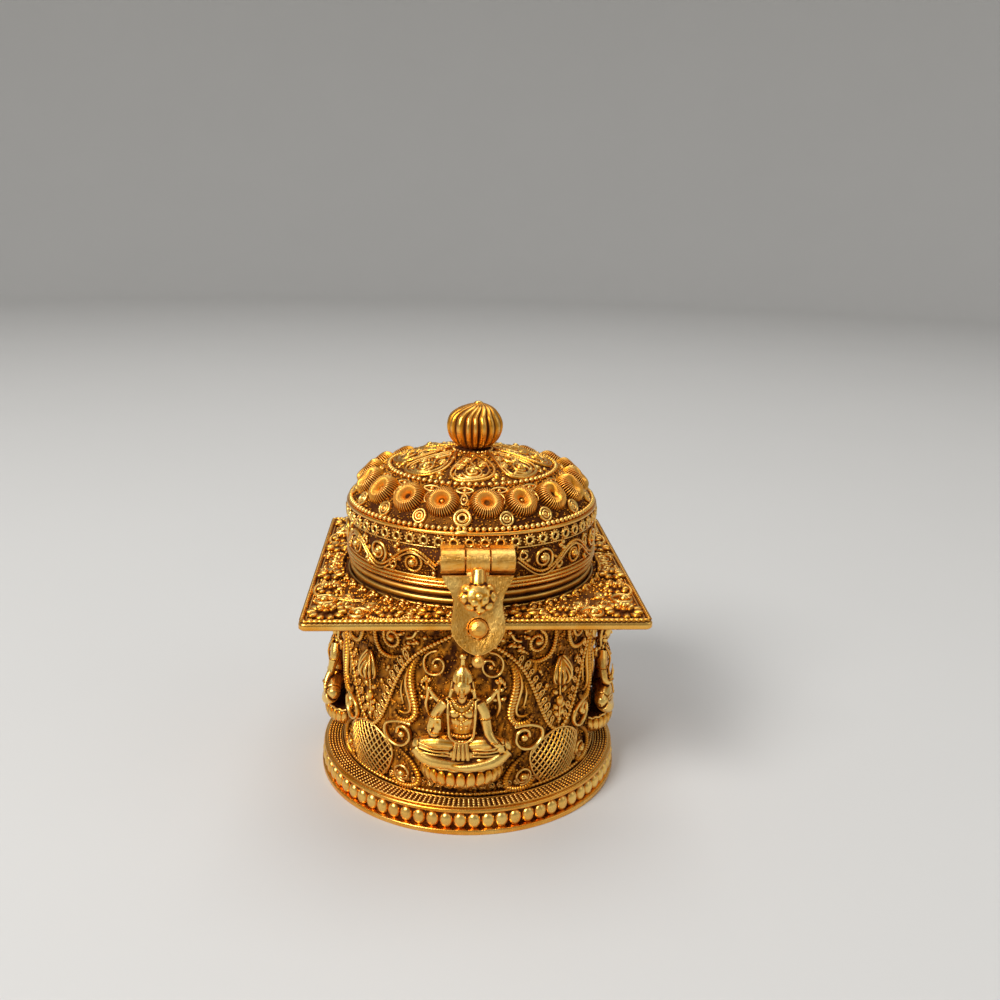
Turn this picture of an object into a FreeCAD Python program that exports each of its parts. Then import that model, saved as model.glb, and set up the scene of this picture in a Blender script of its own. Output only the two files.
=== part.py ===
"""Paan box: a round box on a beaded foot, with a square ornamental plate round its neck, a hinged domed lid
with a ribbed knob, and a hasp that drops over a stud.

Millimetres and degrees. The origin is the centre of the foot's underside, +Z is up, the hasp is at -Y.
"""
import math
import os

import FreeCAD
import Part
import Sketcher
from FreeCAD import Placement, Rotation, Vector

# Driving sizes: alias, value, what it is
SIZES = [
    # Foot
    ("base_step", 5.2, "how far the foot stands out from the drum"),
    ("floor_height", 1.0, "thickness of the floor disc"),
    ("bead_inset", 0.2, "beads from the floor disc's edge"),
    ("bead_depth", 0.8, "between two beads"),
    ("bead_band_height", 3.1, "beaded strip"),
    ("bead_count", 72, "beads round the foot"),
    ("base_top_inset", 0.4, "top disc from the floor disc's edge"),
    ("base_top_height", 0.9, "its thickness"),
    ("grain_ring_inset", 0.8, "granulated ring from the top disc's edge"),
    ("grain_ring_height", 0.35, "granulated ring"),
    ("grain_ring_gap", 0.3, "granulated ring to the foot wire"),
    # Drum
    ("drum_wall_thickness", 0.9, "drum wall"),
    ("drum_gap", 0.8, "drum wall to the cup"),
    ("drum_height", 34.8, "foot to the plate's underside"),
    ("foot_wire_size", 1.0, "wire at the drum's foot, both ways"),
    ("drum_turn_angle", -5.0, "how far the panels are turned from the hasp, degrees"),
    ("panel_count", 4, "figure panels round the drum"),
    # Cup and plate
    ("cup_radius", 22.9, "outside of the inner cup and its neck"),
    ("cup_wall", 0.8, "cup wall"),
    ("cup_floor", 1.0, "cup floor"),
    ("plate_overhang", 5.4, "square plate past the drum"),
    ("plate_thickness", 1.4, "square plate"),
    ("plate_corner_radius", 1.2, "plate corners"),
    ("plate_hole_clearance", 0.4, "round hole to the neck"),
    ("edge_wire_size", 0.5, "wire on the plate's edge, both ways"),
    ("edge_wire_inset", 0.15, "edge wire from the plate's edge"),
    ("neck_height", 5.8, "neck above the plate"),
    # Lid
    ("skirt_overlap", 2.1, "lid skirt over the neck"),
    ("skirt_clearance", 0.3, "lid skirt to the neck"),
    ("skirt_wall", 0.3, "lid skirt"),
    ("lid_band_height", 10.3, "lid band"),
    ("lid_step_gap", 0.3, "lid step over the neck's rim"),
    ("lid_step_width", 0.8, "how far the step reaches in"),
    ("rim_wire_size", 0.45, "how far the two rim wires stand out"),
    ("rim_wires_height", 1.3, "both rim wires together"),
    ("shoulder_wire_size", 0.45, "wire over the ring flowers"),
    ("shoulder_wire_height", 0.7, "its height"),
    ("dome_inset", 0.6, "dome from the lid band's outside"),
    ("dome_rise", 9.3, "dome"),
    ("dome_wall", 0.9, "dome wall"),
    ("bead_row_size", 0.85, "bead rows of the dome, both ways"),
    ("rosette_count", 18, "rosettes round the dome"),
    ("rosette_turn_angle", 3.3, "turn of their ring"),
    ("rosette_radius", 3.3, "rosettes"),
    ("rosette_height", 1.15, "rosette crown over the dome"),
    ("rosette_pleats", 7, "pleats of a rosette"),
    ("bezel_radius", 1.15, "ring bezels between the rosettes"),
    ("bezel_height", 0.7, "ring bezels"),
    ("neck_flange_radius", 3.4, "knob neck at the dome"),
    ("knob_neck_radius", 2.5, "knob neck"),
    ("knob_neck_height", 0.9, "knob neck"),
    ("knob_radius", 5.25, "ribbed knob"),
    ("knob_height", 8.1, "ribbed knob"),
    ("knob_ribs", 14, "ribs of the knob"),
    ("knob_groove_depth", 0.55, "grooves between the ribs"),
    # Back hinge
    ("hinge_width", 12.6, "both hinges"),
    ("knuckle_gap", 0.2, "between two knuckles"),
    ("back_axis_gap", 2.8, "lid hinge axis behind the lid band"),
    ("back_axis_lift", 0.5, "lid hinge axis above the lid's rim"),
    ("back_knuckle_radius", 1.9, "lid hinge knuckles"),
    ("pin_radius", 0.75, "both hinge pins"),
    ("pin_clearance", 0.05, "pin to the knuckle bores"),
    ("pin_overhang", 0.15, "pin past each outer knuckle"),
    ("leaf_thickness", 0.8, "hinge leaves"),
    ("leaf_foot_depth", 3.2, "foot of the box leaf on the plate"),
    ("leaf_height", 4.2, "lid leaf of the back hinge"),
    ("leaf_clearance", 0.3, "leaves to the other side's knuckles"),
    # Hasp and its hinge
    ("hasp_axis_gap", 2.7, "hasp hinge axis in front of the lid band"),
    ("hasp_axis_lift", 6.1, "hasp hinge axis above the lid's rim"),
    ("hasp_knuckle_radius", 2.15, "hasp hinge knuckles"),
    ("hasp_leaf_rise", 2.9, "lid leaf above the hasp axis"),
    ("hasp_leaf_drop", 1.2, "lid leaf below the hasp axis"),
    ("hasp_stand_off", 0.6, "hinge line of the hasp in front of the plate's edge"),
    ("hasp_thickness", 0.8, "hasp plate"),
    ("hasp_offset", 0.6, "middle of the hasp plate in front of the axis"),
    ("hasp_top", 2.5, "hinge axis to the plate's top edge"),
    ("hasp_top_inset", 0.2, "top edge of the hasp from the hinge's ends"),
    ("hasp_waist_width", 8.3, "hasp waist"),
    ("hasp_waist_rise", 4.5, "waist above the stud hole"),
    ("hasp_lobe_radius", 4.55, "round lobe of the hasp"),
    ("hasp_lobe_rise", 0.9, "lobe centre above the stud hole"),
    ("hasp_tip_reach", 4.5, "stud hole to the tip"),
    ("hasp_tip_width", 0.7, "blunt end of the tip"),
    ("stud_radius", 1.6, "stud head"),
    ("stud_clearance", 0.2, "stud head in its hole"),
    ("stud_proud", 0.6, "straight part of the head in front of the hasp"),
    ("stud_dome", 0.9, "dome of the stud head"),
    ("stud_shank_radius", 0.6, "stud shank"),
    ("tip_ball_radius", 1.05, "ball at the hasp's tip"),
    ("flower_radius", 3.1, "granule flower on the hasp"),
    ("flower_height", 2.0, "granule flower"),
    ("flower_rise", 5.1, "flower's middle above the stud hole"),
    ("stem_width", 2.4, "stem of the flower at the knuckle"),
    # Relief on the drum
    ("relief_gap", 0.05, "solder under the wires of the relief"),
    ("arch_wire_width", 0.9, "arch wires"),
    ("arch_wire_depth", 1.0, "arch wires"),
    ("arch_top_gap", 3.0, "arch crown below the plate"),
    ("arch_foot_height", 11.6, "arch springing above the foot"),
    ("arch_gap_angle", 1.0, "half the gap between two arches, degrees"),
    ("hook_width", 1.3, "coiled hooks"),
    ("hook_depth", 1.2, "coiled hooks"),
    ("hook_top_share", 0.584, "hook top up the arch"),
    ("hook_height", 8.2, "coiled hooks"),
    ("bud_height", 6.4, "teardrop buds"),
    ("bud_width", 3.0, "teardrop buds"),
    ("bud_depth", 1.5, "teardrop buds"),
    ("bud_foot_height", 19.4, "bud bottom above the foot"),
    ("net_depth", 0.45, "net wedges"),
    ("net_top_gap", 0.7, "net wedge to the foot of the arches"),
    ("net_reach_angle", 11.0, "half the net wedge at its foot, degrees"),
    ("net_foot_gap", 0.3, "net wedge to the foot wire"),
    ("boss_radius", 1.7, "coil bosses at the panel's foot"),
    ("boss_depth", 1.1, "coil bosses"),
    ("boss_height", 3.6, "boss centre above the foot"),
    ("boss_angle", 27.0, "boss from the panel's middle, degrees"),
    # Figures
    ("seat_foot_height", 3.2, "lotus seat above the foot"),
    ("seat_height", 4.1, "lotus seat"),
    ("seat_width", 15.4, "lotus seat"),
    ("seat_depth", 5.0, "lotus seat out from the wall"),
    ("seat_petals", 7, "lotus petals to the front"),
    ("figure_gap", 0.05, "figure over its seat"),
    ("figure_top_gap", 2.85, "crown bead below the arch crown"),
    ("figure_width", 15.6, "figure across the knees"),
    ("figure_depth", 5.0, "figure out from the wall"),
    # Relief on the plate
    ("flower_count", 4, "corner flowers"),
    ("corner_flower_radius", 3.7, "corner flowers"),
    ("corner_flower_height", 1.7, "corner flowers"),
    ("corner_flower_petals", 8, "petals of a corner flower"),
    ("corner_flower_inset", 5.0, "corner flower from the plate's edges"),
    ("leaf_mound_length", 5.6, "leaf scrolls of the plate"),
    ("leaf_mound_width", 3.6, "leaf scrolls of the plate"),
    ("leaf_mound_height", 1.3, "leaf scrolls of the plate"),
    ("leaf_mound_inset", 4.2, "leaf scroll from the plate's edge"),
    ("leaf_mound_spread", 12.6, "leaf scroll from the plate's middle"),
    ("comma_radius", 1.9, "comma scrolls of the plate"),
    ("comma_height", 0.8, "comma scrolls of the plate"),
    ("comma_inset", 3.8, "comma scroll from the plate's edge"),
    ("comma_spread", 19.2, "comma scroll from the plate's middle"),
    ("half_flower_radius", 2.3, "half flowers of the plate"),
    ("half_flower_inset", 4.0, "half flower from the plate's edge"),
    ("half_flower_spread", 7.0, "half flower from the plate's middle"),
    # Relief on the lid band
    ("vine_width", 0.9, "waving vine of the lid band"),
    ("vine_depth", 0.5, "waving vine of the lid band"),
    ("vine_height", 4.4, "middle of the vine above the lid's rim"),
    ("vine_rise", 2.05, "vine above and below its middle"),
    ("vine_waves", 4, "waves of the vine on each side of the hinges"),
    ("vine_gap_angle", 18.0, "vine to the middle of the hinges, degrees"),
    ("flower_row_gap", 1.85, "middle of the ring flower row below the lid band's top"),
    ("flower_row_width", 1.9, "ring flower row"),
    ("flower_row_depth", 0.35, "ring flower row"),
]

# Dome outline from its foot to its flat top: share of the radius, share of the rise
DOME_PROFILE_SHARES = [(1.0, 0.0), (0.93, 0.247), (0.825, 0.478), (0.668, 0.688), (0.476, 0.86), (0.157, 1.0)]
# The inside of the dome, the same way
DOME_INSIDE_SHARES = [(1.0, 0.0), (0.87, 0.38), (0.58, 0.78), (0.12, 1.0)]
# Knob outline: share of the height, share of the radius
KNOB_PROFILE_SHARES = [(0.0, 0.42), (0.1, 0.76), (0.3, 0.98), (0.6, 0.97), (0.85, 0.68), (1.0, 0.2)]
# Teardrop bud from its round foot to its point: share of the height, share of the half width
BUD_PROFILE_SHARES = [(0.0, 0.3), (0.14, 0.82), (0.32, 1.0), (0.55, 0.78), (0.8, 0.34), (1.0, 0.08)]
# Its section: share of the half width, share of the depth
BUD_SECTION_SHARES = [(1.0, 0.0), (0.8, 0.65), (0.0, 1.0), (-0.8, 0.65), (-1.0, 0.0)]
# Lotus seat: share of the height, share of the width, share of the depth
SEAT_PROFILE_SHARES = [(0.0, 0.52, 0.55), (0.5, 0.95, 0.95), (1.0, 1.0, 1.0)]
# Figure without head and arms: share of the height, half width as a share of the width, share of the depth
BODY_PROFILE_SHARES = [
    (0.0, 0.42, 0.9), (0.11, 0.5, 1.0), (0.22, 0.3, 0.78), (0.35, 0.135, 0.54), (0.5, 0.19, 0.66),
    (0.58, 0.215, 0.55), (0.625, 0.06, 0.44),
]
# Front of a figure's section, right to left: share of the half width, share of the depth
FIGURE_FRONT_SHARES = [(0.92, 0.5), (0.6, 0.86), (0.0, 1.0), (-0.6, 0.86), (-0.92, 0.5)]
# Head and crown: share of the height, half width as a share of the width, how far it comes out as a share
HEAD_PROFILE_SHARES = [
    (0.6, 0.06, 0.52), (0.68, 0.09, 0.62), (0.79, 0.098, 0.62), (0.89, 0.075, 0.54), (0.945, 0.03, 0.46),
    (0.97, 0.042, 0.47), (1.0, 0.018, 0.44),
]
# Arms from the shoulder to the hand: share of the width, of the depth and of the height, then thickness
RIGHT_ARM_SHARES = [
    (-0.17, 0.38, 0.57, 0.075), (-0.29, 0.46, 0.4, 0.07), (-0.28, 0.8, 0.42, 0.06), (-0.24, 0.9, 0.5, 0.07),
]
LEFT_ARM_SHARES = [
    (0.17, 0.38, 0.57, 0.075), (0.27, 0.5, 0.41, 0.07), (0.36, 0.74, 0.27, 0.06), (0.42, 0.82, 0.2, 0.065),
]
# Coiled hook from its top to its curled foot: degrees from the panel's middle, share of its height
HOOK_ROUTE_SHARES = [(23.0, 1.0), (25.2, 0.78), (25.6, 0.25), (28.3, 0.02), (32.6, 0.04)]

# Balls and domed heads from end to end: share of the height, share of the radius
BALL_PROFILE_SHARES = [(0.03, 0.34), (0.25, 0.87), (0.5, 1.0), (0.75, 0.87), (0.97, 0.34)]
STUD_DOME_SHARES = [(0.0, 1.0), (0.66, 0.75), (1.0, 0.3)]

FULL_TURN = 360
HALF_SHARE = 0.5
# Flats that stand for a round: the foot's discs, thin wires, the dome, small round pieces, and the arches
DISC_SIDES = 60
WIRE_SIDES = 32
DOME_SIDES = 32
SMALL_SIDES = 16
BALL_SIDES = 8
SMALLEST_SIDES = 6
LIMB_SIDES = 4
ARCH_STATIONS = 5
# Straight stretches in one wave of the vine, and in the row of ring flowers
WAVE_STATIONS = 4
ROW_STATIONS = 30


class Size:
    """A value worked out from the sheet: the number, and the expression that says how."""

    def __init__(self, text, value):
        self.text = text
        self.value = value

    def joined(self, sign, other, value):
        text = other.text if isinstance(other, Size) else repr(other)
        return Size(f"({self.text} {sign} {text})", value)

    def __add__(self, other):
        return self.joined("+", other, self.value + number(other))

    def __sub__(self, other):
        return self.joined("-", other, self.value - number(other))

    def __mul__(self, other):
        return self.joined("*", other, self.value * number(other))

    def __truediv__(self, other):
        return self.joined("/", other, self.value / number(other))

    def __neg__(self):
        return Size(f"(0 - {self.text})", -self.value)


def number(size):
    return size.value if isinstance(size, Size) else size


def root(square):
    return Size(f"sqrt({square.text})", math.sqrt(square.value))


def arctangent(ratio):
    return Size(f"atan({ratio.text})", math.degrees(math.atan(ratio.value)))


def cosine(angle):
    return Size(f"cos({angle.text})", math.cos(math.radians(angle.value)))


def sine(angle):
    return Size(f"sin({angle.text})", math.sin(math.radians(angle.value)))


ZERO = Size("0", 0.0)
RIGHT_ANGLE = Size("90", 90.0)

doc = FreeCAD.newDocument("paan_box")
sheet = doc.addObject("Spreadsheet::Sheet", "sizes")
for row, (alias, value, note) in enumerate(SIZES, start=1):
    sheet.set(f"A{row}", note)
    sheet.set(f"B{row}", str(value))
    sheet.setAlias(f"B{row}", alias)
doc.recompute()


def size(alias):
    return Size(f"sizes.{alias}", float(getattr(sheet, alias)))


def bind(thing, **sizes):
    """Binds properties, such as Radius or Height, to the sheet."""
    for name, value in sizes.items():
        thing.setExpression(name, value.text)


def place(thing, x=ZERO, y=ZERO, z=ZERO, axis=None, angle=None):
    """Binds a placement: a turn of angle about axis, then the move to x, y, z."""
    if axis:
        turn = number(angle) if angle else 0.0
        thing.Placement = Placement(Vector(), Rotation(Vector(*axis), turn))
        if isinstance(angle, Size):
            thing.setExpression("Placement.Rotation.Angle", angle.text)
    bind(thing, **{"Placement.Base.x": x, "Placement.Base.y": y, "Placement.Base.z": z})
    return thing


# Heights and radii that several pieces share
foot_top = size("floor_height") + size("bead_band_height") + size("base_top_height")
drum_inside = size("cup_radius") + size("drum_gap")
drum_radius = drum_inside + size("drum_wall_thickness")
base_radius = drum_radius + size("base_step")
base_top_radius = base_radius - size("base_top_inset")
relief_seat = drum_radius + size("relief_gap")
plate_bottom = foot_top + size("drum_height")
plate_top = plate_bottom + size("plate_thickness")
plate_half = drum_radius + size("plate_overhang")
arch_crown = plate_bottom - size("arch_top_gap")
figure_low = foot_top + size("seat_foot_height") + size("seat_height") + size("figure_gap")
figure_height = arch_crown - size("figure_top_gap") - figure_low
neck_rim = plate_top + size("neck_height")
skirt_bottom = neck_rim - size("skirt_overlap")
skirt_inside = size("cup_radius") + size("skirt_clearance")
lid_band_radius = skirt_inside + size("skirt_wall")
band_top = skirt_bottom + size("lid_band_height")
dome_radius = lid_band_radius - size("dome_inset")
dome_top = band_top + size("dome_rise")
back_axis_out = lid_band_radius + size("back_axis_gap")
back_axis_height = skirt_bottom + size("back_axis_lift")
# The hasp leans from its hinge to the stud in the middle of the plate's edge
hasp_axis_out = lid_band_radius + size("hasp_axis_gap")
hasp_axis_height = skirt_bottom + size("hasp_axis_lift")
hasp_run = plate_half + size("hasp_stand_off") - hasp_axis_out
hasp_fall = hasp_axis_height - plate_bottom - size("plate_thickness") / 2
hasp_lean = arctangent(hasp_run / hasp_fall)
stud_drop = root(hasp_run * hasp_run + hasp_fall * hasp_fall)
tip_drop = stud_drop + size("hasp_tip_reach")
# Hinges
bore_radius = size("pin_radius") + size("pin_clearance")
half_hinge = size("hinge_width") / 2
third_hinge = size("hinge_width") / 6
middle_half = third_hinge - size("knuckle_gap") / 2
outer_start = third_hinge + size("knuckle_gap") / 2
outer_length = half_hinge - outer_start


def plane_of(body, role):
    return next(item for item in body.Origin.OriginFeatures if item.Role == role)


def profile_sketch(body, role, points):
    """A closed outline of straight lines, each corner held by its two distances from the origin."""
    sketch = body.newObject("Sketcher::SketchObject", f"{body.Label}_outline")
    sketch.AttachmentSupport = [(plane_of(body, role), "")]
    sketch.MapMode = "FlatFace"
    corners = [Vector(number(across), number(up), 0) for across, up in points]
    for start, end in zip(corners, corners[1:] + corners[:1]):
        sketch.addGeometry(Part.LineSegment(start, end), False)
    count = len(points)
    for index in range(count):
        sketch.addConstraint(Sketcher.Constraint("Coincident", index, 2, (index + 1) % count, 1))
    for index, (across, up) in enumerate(points):
        for kind, value in (("DistanceX", across), ("DistanceY", up)):
            place_in_list = sketch.addConstraint(Sketcher.Constraint(kind, -1, 1, index, 1, number(value)))
            if value is not ZERO:
                sketch.setExpression(f"Constraints[{place_in_list}]", value.text)
    return sketch


def turned(label, points):
    """A body turned about the box's axis from an outline of radius and height."""
    body = doc.addObject("PartDesign::Body", label)
    sketch = profile_sketch(body, "XZ_Plane", points)
    turning = body.newObject("PartDesign::Revolution", f"{label}_turning")
    turning.Profile = sketch
    turning.ReferenceAxis = (sketch, ["V_Axis"])
    turning.Angle = FULL_TURN
    sketch.Visibility = False
    return body


def ring(label, inner, outer, low, high):
    return turned(label, [(inner, low), (outer, low), (outer, high), (inner, high)])


def tube(name, radius, bore, start, length):
    """A bored cylinder along X from start."""
    outside = doc.addObject("Part::Cylinder", f"{name}_outside")
    bind(outside, Radius=radius, Height=length)
    inside = doc.addObject("Part::Cylinder", f"{name}_bore")
    bind(inside, Radius=bore, Height=length)
    for round_bar in (outside, inside):
        place(round_bar, x=start, axis=(0, 1, 0), angle=90)
    return cut(name, outside, inside)


def block(name, x0, x1, y0, y1, z0, z1):
    box = doc.addObject("Part::Box", name)
    bind(box, Length=x1 - x0, Width=y1 - y0, Height=z1 - z0)
    return place(box, x=x0, y=y0, z=z0)


def cut(name, base, tool):
    piece = doc.addObject("Part::Cut", name)
    piece.Base = base
    piece.Tool = tool
    return piece


def fuse(name, pieces):
    piece = doc.addObject("Part::MultiFuse", name)
    piece.Shapes = pieces
    return piece


def feature(label, shape):
    piece = doc.addObject("Part::Feature", label)
    piece.Shape = shape
    return piece


def faceted(sections):
    """A closed solid of flat facets between polygons that have the same number of corners."""
    faces = [Part.Face(Part.makePolygon(end + end[:1])) for end in (sections[0], sections[-1])]
    count = len(sections[0])
    for lower, upper in zip(sections, sections[1:]):
        for index in range(count):
            following = (index + 1) % count
            faces.append(triangle(lower[index], lower[following], upper[following]))
            faces.append(triangle(lower[index], upper[following], upper[index]))
    return closed(faces)


def triangle(first, second, third):
    return Part.Face(Part.makePolygon([first, second, third, first]))


def closed(faces):
    """A solid whose faces are the given ones, turned the right way out."""
    shell = Part.Shell(faces)
    solid = Part.Solid(shell)
    if solid.Volume < 0:
        solid.reverse()
    return solid


def flats(radius, height, sides):
    """The corners of a regular polygon round the box's axis."""
    return [on_drum(radius, FULL_TURN * index / sides, height) for index in range(sides)]


def thin_ring(label, profile):
    """A thin wire of many flats round a wall: its corners stand clear of the wall, its flats touch it."""
    clear = 1 / math.cos(math.pi / WIRE_SIDES)
    loops = [flats(number(radius) * clear, number(height), WIRE_SIDES) for radius, height in profile]
    faces = []
    for loop, following_loop in zip(loops, loops[1:] + loops[:1]):
        for index in range(WIRE_SIDES):
            following = (index + 1) % WIRE_SIDES
            faces.append(triangle(loop[index], loop[following], following_loop[following]))
            faces.append(triangle(loop[index], following_loop[following], following_loop[index]))
    feature(label, closed(faces))


def star(centre, across, along, ridge, valley, count, ridge_lift=None, valley_lift=None):
    """Corners of a star: ridges and valleys in turn round centre, each with its own lift."""
    points = []
    for index in range(2 * count):
        angle = math.pi * index / count
        radius = valley if index % 2 else ridge
        lift = (valley_lift if index % 2 else ridge_lift) or Vector()
        spoke = across * (radius * math.cos(angle)) + along * (radius * math.sin(angle))
        points.append(centre + lift + spoke)
    return points


def on_drum(radius, degrees, height):
    """A point at a radius and height, degrees to the right of the front as seen from the front."""
    angle = math.radians(degrees)
    return Vector(radius * math.sin(angle), -radius * math.cos(angle), height)


def panel_copies(shape, first=0.0):
    """The shape of the front panel repeated round the drum."""
    count = round(size("panel_count").value)
    turns = [size("drum_turn_angle").value + first + FULL_TURN / count * index for index in range(count)]
    return [shape.rotated(Vector(), Vector(0, 0, 1), turn) for turn in turns]


# Foot

def foot():
    top_start = size("floor_height") + size("bead_band_height")
    for label, radius, low, high in (
            ("base_floor", base_radius, ZERO, size("floor_height")),
            ("base_top", base_top_radius, top_start, foot_top)):
        feature(label, faceted([flats(radius.value, height.value, DISC_SIDES) for height in (low, high)]))
    feature("base_bead_band", bead_band())
    wire = size("foot_wire_size")
    grain_inside = drum_radius + wire + size("grain_ring_gap")
    grain_outside = base_top_radius - size("grain_ring_inset")
    thin_ring("base_grain_ring", [
        (grain_inside, foot_top), (grain_outside, foot_top),
        (grain_outside, foot_top + size("grain_ring_height"))])
    thin_ring("drum_foot_wire", [
        (drum_radius, foot_top), (drum_radius + wire, foot_top),
        (drum_radius, foot_top + wire)])


def bead_band():
    """The beaded strip: each bead is a ridge between two valleys."""
    low = Vector(0, 0, size("floor_height").value)
    ridge = base_radius - size("bead_inset")
    valley = ridge - size("bead_depth")
    count = round(size("bead_count").value)
    outline = star(low, Vector(1, 0, 0), Vector(0, 1, 0), ridge.value, valley.value, count)
    strip = Part.Face(Part.makePolygon(outline + outline[:1]))
    return strip.extrude(Vector(0, 0, size("bead_band_height").value))


# Drum, cup and plate

def drum():
    ring("drum_wall", drum_inside, drum_radius, foot_top, plate_bottom)


def cup():
    inside = size("cup_radius") - size("cup_wall")
    floor = foot_top + size("cup_floor")
    turned("inner_cup", [
        (ZERO, foot_top), (size("cup_radius"), foot_top), (size("cup_radius"), neck_rim),
        (inside, neck_rim), (inside, floor), (ZERO, floor)])


def square_plate():
    body = doc.addObject("PartDesign::Body", "plate_blank")
    outline = profile_sketch(body, "XY_Plane", [
        (-plate_half, -plate_half), (plate_half, -plate_half),
        (plate_half, plate_half), (-plate_half, plate_half)])
    pad = body.newObject("PartDesign::Pad", "plate_pad")
    pad.Profile = outline
    bind(pad, Length=size("plate_thickness"))
    doc.recompute()
    upright = [
        f"Edge{index}" for index, edge in enumerate(pad.Shape.Edges, start=1)
        if abs(edge.tangentAt(edge.FirstParameter).z) > HALF_SHARE]
    corners = body.newObject("PartDesign::Fillet", "plate_corners")
    corners.Base = (pad, upright)
    bind(corners, Radius=size("plate_corner_radius"))
    place(body, z=plate_bottom)
    hole = doc.addObject("Part::Cylinder", "plate_hole")
    bind(hole, Radius=size("cup_radius") + size("plate_hole_clearance"), Height=size("plate_thickness"))
    place(hole, z=plate_bottom)
    cut("square_plate", body, hole)


def edge_wire():
    wire = size("edge_wire_size")
    outer = plate_half - size("edge_wire_inset")
    inner = outer - wire
    frame = block("edge_frame", -outer, outer, -outer, outer, plate_top, plate_top + wire)
    window = block("edge_window", -inner, inner, -inner, inner, plate_top, plate_top + wire)
    cut("plate_edge_wire", frame, window)


def pleated(radius, crown_height, pleats):
    """A flower with pleats: a star rim that rises to a crown and falls to a pit, on a flat back."""
    valley_share = 0.9
    crown_share = 0.62
    crown_valley_share = 0.72
    pit_share = 0.5
    across, along, up = Vector(1, 0, 0), Vector(0, 1, 0), Vector(0, 0, 1)
    rim = star(Vector(), across, along, radius, radius * valley_share, pleats)
    crown = star(Vector(), across, along, radius * crown_share, radius * crown_share, pleats,
                 up * crown_height, up * (crown_height * crown_valley_share))
    pit = up * (crown_height * pit_share)
    faces = [Part.Face(Part.makePolygon(rim + rim[:1]))]
    for index in range(2 * pleats):
        following = (index + 1) % (2 * pleats)
        faces.append(triangle(rim[index], rim[following], crown[following]))
        faces.append(triangle(rim[index], crown[following], crown[index]))
        faces.append(triangle(crown[index], crown[following], pit))
    return closed(faces)


def plate_relief():
    flower = pleated(
        size("corner_flower_radius").value, size("corner_flower_height").value,
        round(size("corner_flower_petals").value))
    reach = plate_half.value - size("corner_flower_inset").value
    corners = [
        Vector(across, along, plate_top.value) for across in (-reach, reach) for along in (-reach, reach)]
    feature("corner_flowers", Part.makeCompound([flower.translated(corner) for corner in corners]))
    out = plate_half.value - size("leaf_mound_inset").value
    # The hinge leaf's foot takes the place of the half flowers at the back
    back_quarter = 2
    mounds = []
    for quarter in range(round(size("flower_count").value)):
        for side in (-1, 1):
            mound = leaf_mound(side).translated(
                Vector(side * size("leaf_mound_spread").value, -out, plate_top.value))
            turn = FULL_TURN / size("flower_count").value * quarter
            mounds.append(mound.rotated(Vector(), Vector(0, 0, 1), turn))
            comma = low_boss("comma", side)
            mounds.append(comma.rotated(Vector(), Vector(0, 0, 1), turn))
            if quarter != back_quarter:
                half_flower = low_boss("half_flower", side)
                mounds.append(half_flower.rotated(Vector(), Vector(0, 0, 1), turn))
    feature("plate_leaf_scrolls", Part.makeCompound(mounds))


def low_boss(name, side):
    """A low boss on the plate's front strip, to one side of its middle, with a sloping edge."""
    top_share = 0.72
    radius = size(f"{name}_radius").value
    height = size("comma_height").value
    boss_shape = faceted([
        flats(radius, 0.0, SMALLEST_SIDES), flats(radius * top_share, height, SMALLEST_SIDES)])
    across = side * size(f"{name}_spread").value
    return boss_shape.translated(
        Vector(across, size(f"{name}_inset").value - plate_half.value, plate_top.value))


def leaf_mound(side):
    """A low leaf whose point is drawn towards the corner of the plate."""
    half_length = size("leaf_mound_length").value / 2
    half_width = size("leaf_mound_width").value / 2
    height = size("leaf_mound_height").value
    outline_shares = [
        (-1.0, 0.0), (-0.6, -0.8), (0.1, -1.0), (0.7, -0.6), (1.0, 0.1), (0.5, 0.8), (-0.3, 0.9)]
    top_share = 0.55
    corners = [Vector(side * half_length * along, half_width * across, 0) for along, across in outline_shares]
    ridge = [point * top_share + Vector(0, 0, height) for point in corners]
    return faceted([corners, ridge])


# Relief on the drum

def ribbon_on_drum(route, width, depth, seat=relief_seat):
    """A wire on a round wall along a route of degrees and heights, wide below and narrow in front."""
    widest_step = max(abs(after[0] - before[0]) for before, after in zip(route, route[1:]))
    clear = 1 / math.cos(math.radians(widest_step / 2))
    seat_radius = seat.value * clear
    top_share = 0.5
    sections = []
    for index, (degrees, height) in enumerate(route):
        before = route[max(index - 1, 0)]
        after = route[min(index + 1, len(route) - 1)]
        run = math.radians(after[0] - before[0]) * seat_radius
        rise = after[1] - before[1]
        out = on_drum(1.0, degrees, 0.0)
        sideways = Vector(-out.y, out.x, 0)
        across = (Vector(0, 0, run) - sideways * rise) / math.hypot(run, rise) * (width / 2)
        foot_middle = on_drum(seat_radius, degrees, height)
        top_middle = foot_middle + out * depth
        sections.append([
            foot_middle - across, top_middle - across * top_share,
            top_middle + across * top_share, foot_middle + across])
    return faceted(sections)


def arch_route():
    """A cosine arch from diagonal to diagonal of a panel."""
    reach = FULL_TURN / size("panel_count").value / 2 - size("arch_gap_angle").value
    low = foot_top.value + size("arch_foot_height").value
    rise = arch_crown.value - low
    route = []
    for index in range(2 * ARCH_STATIONS + 1):
        share = index / ARCH_STATIONS - 1
        route.append((reach * share, low + rise * math.cos(math.pi * share / 2)))
    return route


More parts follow.
